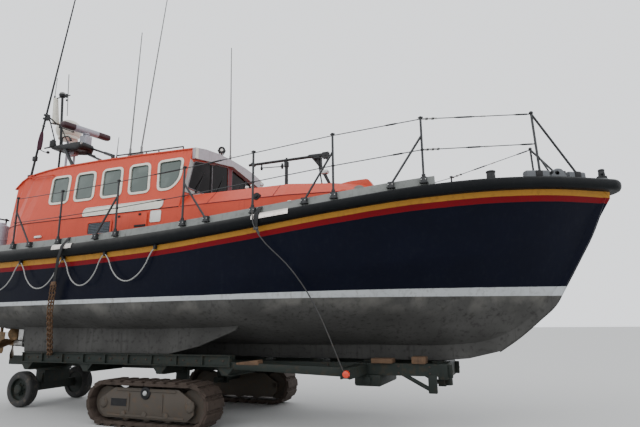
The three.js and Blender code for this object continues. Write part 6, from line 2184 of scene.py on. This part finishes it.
def make_bogie():
    outline = [(AXLE_X + x, z) for x, z in BOGIE_PLATE]
    parts = []
    for low, high in ((-1.512, -1.480), (-1.180, -1.150)):
        parts.append(plate(outline, "y", low, high, edge=0.008))
    ribs = [((-0.72, 0.155), (0.72, 0.185)), ((-0.56, 0.525), (0.56, 0.553)),
            ((0.30, 0.24), (0.33, 0.50)), ((-0.33, 0.24), (-0.30, 0.50))]
    for (x0, z0), (x1, z1) in ribs:
        parts.append(block((AXLE_X + x0, -1.524, z0), (AXLE_X + x1, -1.508, z1), 0.004, 1))
    for side in (-1, 1):
        x = AXLE_X + side * TRACK_HALF
        profile = [(0.0, 0.055), (0.14, 0.055), (0.14, 0.235), (0.20, 0.238), (0.21, IDLER_RADIUS),
                   (0.31, IDLER_RADIUS), (0.32, 0.238), (0.38, 0.235), (0.38, 0.055), (0.50, 0.055)]
        reach = [(-1.53 + along * 0.76, radius) for along, radius in profile]
        parts.append(lathed([(y + 1.34, r) for y, r in reach],
                            Vector((x, -1.34, TRACK_RADIUS)), Vector((0, 1, 0)), 32))
        parts.append(crosswise(x, TRACK_RADIUS, -1.511, -1.532, 0.085, 24, 0.070, edge=0.005))
        for a in turns(6):
            bolt = Vector((x + 0.058 * math.cos(a), -1.528, TRACK_RADIUS + 0.058 * math.sin(a)))
            parts.append(rod(bolt, bolt + Vector((0, -0.012, 0)), 0.009, 6))
    for shift in (-0.4, 0.0, 0.4):
        x, z = AXLE_X + shift, TRACK_RADIUS - IDLER_RADIUS + ROLLER_RADIUS
        parts.append(crosswise(x, z, -1.47, -1.19, ROLLER_RADIUS, 24, edge=0.012))
        parts.append(crosswise(x, z, -1.511, -1.53, 0.042, 16, edge=0.005))
    both_sides(parts, "bogie_frame", "track_steel", BOGIE, replaces=["track_bogie"])
    # A black sheet on the outer bogie plate: the painted shadow of its recess.
    recess_shadow = block((AXLE_X - 0.66, -1.517, 0.30), (AXLE_X - 0.36, -1.511, 0.41))
    both_sides(recess_shadow, "bogie_recess_shadow", "track_steel", BLACK)
    ring = crosswise(AXLE_X, AXLE_Z, -1.505, -1.53, 0.10, 28, 0.085, edge=0.006)
    both_sides(ring, "pivot_ring", "track_steel", BLACK)
    knob = crosswise(AXLE_X, AXLE_Z, -1.525, -1.545, 0.042, 20, 0.034, edge=0.006)
    both_sides(knob, "pivot_knob", "steel", GALVANISED)


BOGIE = finish("bogie_brown", (0.052, 0.042, 0.032), (0.09, 0.055, 0.03), 0.35, 0.4, 0.55, 0.75, 0.95,
               0.3, 70)
make_track()
make_bogie()
print("tracks:", 2 * TRACK_SHOES, "shoes")

# %% [markdown]
# The fore-carriage runs on two plain rubber wheels. Each is turned from one profile: a tyre with
# rounded shoulders and three grooves, a dished rim, and a hub with its nuts. The wheels ride on
# their own bodies. The steering frame keeps its imported shape and gets plates and pins.

# %% Wheels
WHEEL_X, WHEEL_Z, WHEEL_TRACK = -4.75, 0.33, 0.66
TYRE_PROFILE = [
    # across from the wheel's middle, outwards, and radius
    (-0.092, 0.215), (-0.098, 0.235), (-0.098, 0.285), (-0.088, 0.312), (-0.066, 0.327),
    (-0.050, 0.3295), (-0.046, 0.318), (-0.040, 0.318), (-0.036, 0.3295), (-0.006, 0.330),
    (-0.003, 0.318), (0.003, 0.318), (0.006, 0.330), (0.036, 0.3295), (0.040, 0.318),
    (0.046, 0.318), (0.050, 0.3295), (0.066, 0.327), (0.088, 0.312), (0.098, 0.285),
    (0.098, 0.235), (0.092, 0.215), (0.080, 0.210), (-0.080, 0.210),
]
RIM_PROFILE = [
    (-0.070, 0.214), (0.094, 0.214), (0.098, 0.206), (0.092, 0.196), (0.040, 0.190), (0.030, 0.170),
    (0.036, 0.120), (0.060, 0.095), (0.105, 0.088), (0.122, 0.070), (0.125, 0.0),
]


def make_wheels():
    for side, name in ((-1, "starboard"), (1, "port")):
        place = Vector((WHEEL_X, side * WHEEL_TRACK, WHEEL_Z))
        outward = Vector((0, side, 0))
        body = f"wheel_{name}"
        tyre = lathed([*TYRE_PROFILE, TYRE_PROFILE[0]], place, outward, 48)
        fitted(tyre, f"tyre_{name}", "tyre", TYRE, body=body, replaces=[f"carriage_wheel_{name}"])
        rim = [lathed([(-0.070, 0.0), *RIM_PROFILE], place, outward, 36)]
        for a in turns(8):
            nut = place + Vector((0.105 * math.cos(a), side * 0.045, 0.105 * math.sin(a)))
            rim.append(rod(nut, nut + outward * 0.03, 0.013, 6))
        fitted(rim, f"wheel_rim_{name}", "carriage_paint", CARRIAGE_WITH_PAINTED_SHADE, body=body)


make_wheels()
print("wheels done")

# %% [markdown]
# The carriage frame keeps its packed beams. On them go what a welded frame shows: flange lips that
# make channels of the side rails, bolts along them, gussets under the cross beams, timber chocks,
# raking beams out to the front cross beam with its orange-red side lamps, and the front posts.

# %% Carriage details
RAIL_AFT, RAIL_FRONT, RAIL_FACE = -4.10, 0.26, -1.24
RAIL_LOW, RAIL_HIGH = 0.89, 1.06
CROSS_XS = [-4.00, -2.60, -1.06, 0.15]


def make_carriage_details():
    lips = [block((RAIL_AFT, RAIL_FACE - 0.035, RAIL_LOW - 0.004), (RAIL_FRONT, RAIL_FACE + 0.01,
                                                                 RAIL_LOW + 0.014), 0.003, 1),
            block((RAIL_AFT, RAIL_FACE - 0.035, RAIL_HIGH - 0.018), (RAIL_FRONT, RAIL_FACE + 0.01,
                                                                  RAIL_HIGH - 0.002), 0.003, 1)]
    for x in [RAIL_AFT + 0.02 + 0.48 * i for i in range(10)]:
        lips.append(block((x - 0.008, RAIL_FACE - 0.032, RAIL_LOW), (x + 0.008, RAIL_FACE + 0.01,
                                                                     RAIL_HIGH - 0.004)))
    for x in CROSS_XS:
        lips.append(plate([(x - 0.16, RAIL_LOW + 0.002), (x + 0.16, RAIL_LOW + 0.002),
                           (x + 0.05, 0.775), (x - 0.05, 0.775)], "y", -1.238, -1.222, edge=0.002,
                          segments=1))
        lips.append(block((x - 0.085, -1.20, 0.752), (x + 0.085, -0.46, 0.772), 0.003, 1))
    for x in (1.99, 2.11):
        lips.append(block((x - 0.012, -1.252, 0.77), (x + 0.012, -0.44, 0.918), 0.004, 1))
    lips.append(plate([(1.70, 0.80), (2.0, 0.80), (2.0, 0.90)], "y", -0.50, -0.46, edge=0.003,
                      segments=1))
    both_sides(lips, "rail_flanges", "carriage_paint", CARRIAGE_WITH_PAINTED_SHADE)
    bolts = []
    for i in range(18):
        x = RAIL_AFT + 0.14 + 0.24 * i
        bolts.append(crosswise(x, 0.975, RAIL_FACE + 0.004, RAIL_FACE - 0.014, 0.013, 6))
    for x in (1.5, 2.6, 3.05):
        for z in (0.80, 0.89):
            bolts.append(crosswise(x, z, -0.455, -0.475, 0.014, 6))
    both_sides(bolts, "rail_bolts", "steel", TRACK_WITH_PAINTED_SHADE)
    chock = [plate([(0.34, 0.955), (0.70, 1.00), (0.72, 0.925), (0.34, 0.925)], "y", -1.24, -1.08,
                   edge=0.008),
             block((2.20, -0.52, 0.93), (2.52, -0.30, 1.00), 0.012),
             block((2.80, -0.50, 0.93), (3.00, -0.28, 1.03), 0.012)]
    both_sides(chock, "timber_chocks", "carriage_paint", TIMBER)
    lamp = crosswise(2.07, 0.838, -1.245, -1.290, 0.054, 24, 0.046, edge=0.010)
    both_sides(lamp, "side_lamp", "gear_plastic", LAMP_RED)
    front = [slab((3.16, 3.30), 0, 0.46, (0.72, 0.94), 0.02, 2),
             upright(3.24, 0, 0.70, 0.60, 0.06, 20, edge=0.01)]
    for side in (-1, 1):
        front.append(slab((3.28, 3.36), side * 0.38, 0.03, (0.74, 0.92), 0.008))
        front.append(crosswise(3.32, 0.83, side * 0.36, side * 0.40, 0.045, 20))
        front.append(slab((3.02, 3.14), side * 0.43, 0.035, (0.53, 0.78), 0.008))
        front.append(rod((2.62, side * 0.43, 0.80), (3.06, side * 0.43, 0.57), 0.030, 12))
        front.append(plate([(0.20, 0.98), (0.32, 0.955), (1.98, 0.925), (2.06, 0.90), (2.06, 0.80),
                            (0.20, 0.86)], "y", side * 1.20 - 0.035, side * 1.20 + 0.035, edge=0.008))
    front.append(slab((1.93, 2.34), 0, 0.50, (0.60, 0.77), 0.03, 2))
    front.append(crosswise(2.135, 0.69, -0.54, 0.54, 0.06, 20, edge=0.01))
    fitted(front, "front_cross_head", "carriage_paint", CARRIAGE_WITH_PAINTED_SHADE)


TIMBER = finish("wet_timber", (0.10, 0.055, 0.028), (0.03, 0.02, 0.015), 0.35, 0.5, 0.4, 0.8, 0.95, 0.4,
                60)
LAMP_RED = finish("lamp_red", (0.62, 0.05, 0.02), (0.2, 0.03, 0.02), 0.05, 0.1, 0.1, 0.2, 0.4, 0.02, 60)
make_carriage_details()
print("carriage details done")

# %% [markdown]
# The steering head turns with its two wheels. It gets a bolted turning ring, gusset plates on the
# axle, hub caps, and the pin of its towing eye. All ride on the steering body and swing together.

# %% Steering head


def make_steering_details():
    head = WHEEL_X
    ring = [upright(head, 0, 0.652, 0.70, 0.332, 48, edge=0.006)]
    for a in turns(12):
        ring.append(upright(head + 0.29 * math.cos(a), 0.29 * math.sin(a), 0.640, 0.655, 0.014, 6))
    for side in (-1, 1):
        ring.append(plate([(head - 0.05, 0.28), (head + 0.05, 0.28), (head + 0.10, 0.60),
                           (head - 0.10, 0.60)], "y", side * 0.31 - 0.012, side * 0.31 + 0.012,
                          edge=0.003, segments=1))
        ring.append(crosswise(head, WHEEL_Z, side * 0.515, side * 0.535, 0.085, 24, edge=0.005))
        ring.append(slab((-4.84, -4.79), side * 0.34, 0.05, (0.33, 0.43), 0.006))
    eye = [upright(-5.65, 0, 0.40, 0.455, 0.020, 12, edge=0.003)]
    fitted(ring + eye, "steering_fittings", "carriage_paint", CARRIAGE_WITH_PAINTED_SHADE, body="steering")


make_steering_details()
print("steering head done")

# %% [markdown]
# Under the stern hang the propellers and rudders. Each propeller has four wide blades twisted from
# root to tip and a turned hub with a cone, and each rudder a blade with a fair section.

# %% Propellers and rudders
PROP_X, PROP_Y, PROP_Z = -5.08, 0.72, 1.19
HUB_PROFILE = [
    # distance aft of the disc, radius
    (-0.080, 0.0), (-0.080, 0.050), (-0.060, 0.056), (0.050, 0.056), (0.080, 0.048),
    (0.105, 0.030), (0.118, 0.012), (0.120, 0.0),
]
BLADE_ROWS = [
    # radius, half chord, angle of the chord from the disc, thickness
    (0.040, 0.052, 0.95, 0.016), (0.080, 0.074, 0.85, 0.014), (0.130, 0.098, 0.72, 0.011),
    (0.180, 0.108, 0.61, 0.009), (0.225, 0.102, 0.53, 0.007), (0.260, 0.080, 0.47, 0.006),
    (0.284, 0.050, 0.44, 0.005), (0.297, 0.014, 0.42, 0.003),
]
RUDDER_X, RUDDER_STOCK = -5.44, 0.03
RUDDER_ROWS = [
    # z, front edge, aft edge, half thickness
    (0.985, 0.060, -0.190, 0.010), (0.993, 0.085, -0.225, 0.018), (1.020, 0.100, -0.245, 0.024),
    (1.150, 0.108, -0.250, 0.026), (1.390, 0.110, -0.250, 0.026), (1.400, 0.104, -0.245, 0.022),
]


def blade(angle, side, centre):
    outward = Vector((0, math.cos(angle), math.sin(angle)))
    round_way = Vector((0, -math.sin(angle), math.cos(angle)))
    rows = []
    for radius, half, pitch, thick in BLADE_ROWS:
        chord = Vector((1, 0, 0)) * (math.sin(pitch) * side) + round_way * math.cos(pitch)
        across = chord.cross(outward)
        middle = centre + outward * radius
        rows.append([middle + chord * (half * math.cos(a)) + across * (thick * math.sin(a))
                     for a in turns(16)])
    return skinned(rows)


def rudder_leaf(y):
    """A blade whose section is full ahead of its middle and thins towards the stern."""
    rows = []
    for z, front, aft, thick in RUDDER_ROWS:
        row = []
        for a in turns(24):
            share = (1 + math.cos(a)) / 2
            full = thick * math.sin(a) * (0.35 + 0.65 * share ** 0.5)
            row.append((RUDDER_X + aft + (front - aft) * share, y + full, z))
        rows.append(row)
    return skinned(rows)


def make_stern_gear():
    for side, name in ((-1, "starboard"), (1, "port")):
        y = side * PROP_Y
        centre = Vector((PROP_X, y, PROP_Z))
        hub = lathed(HUB_PROFILE, centre, Vector((-1, 0, 0)))
        fitted([hub, *[blade(a, side, centre) for a in turns(4)]], f"propeller_blades_{name}", "bronze",
               BRONZE, body=f"propeller_{name}", replaces=[f"propeller_{name}"])
        stock = upright(RUDDER_X, y, 1.395, 1.68, RUDDER_STOCK, 20)
        fitted([rudder_leaf(y), stock], f"rudder_blade_{name}", "bronze", BRONZE,
               body=f"rudder_{name}", replaces=[f"rudder_{name}"])


make_stern_gear()
print("propellers and rudders done")

# %% [markdown]
# The last cell brings the scene up to date.

# %% Scene update
bpy.context.view_layer.update()
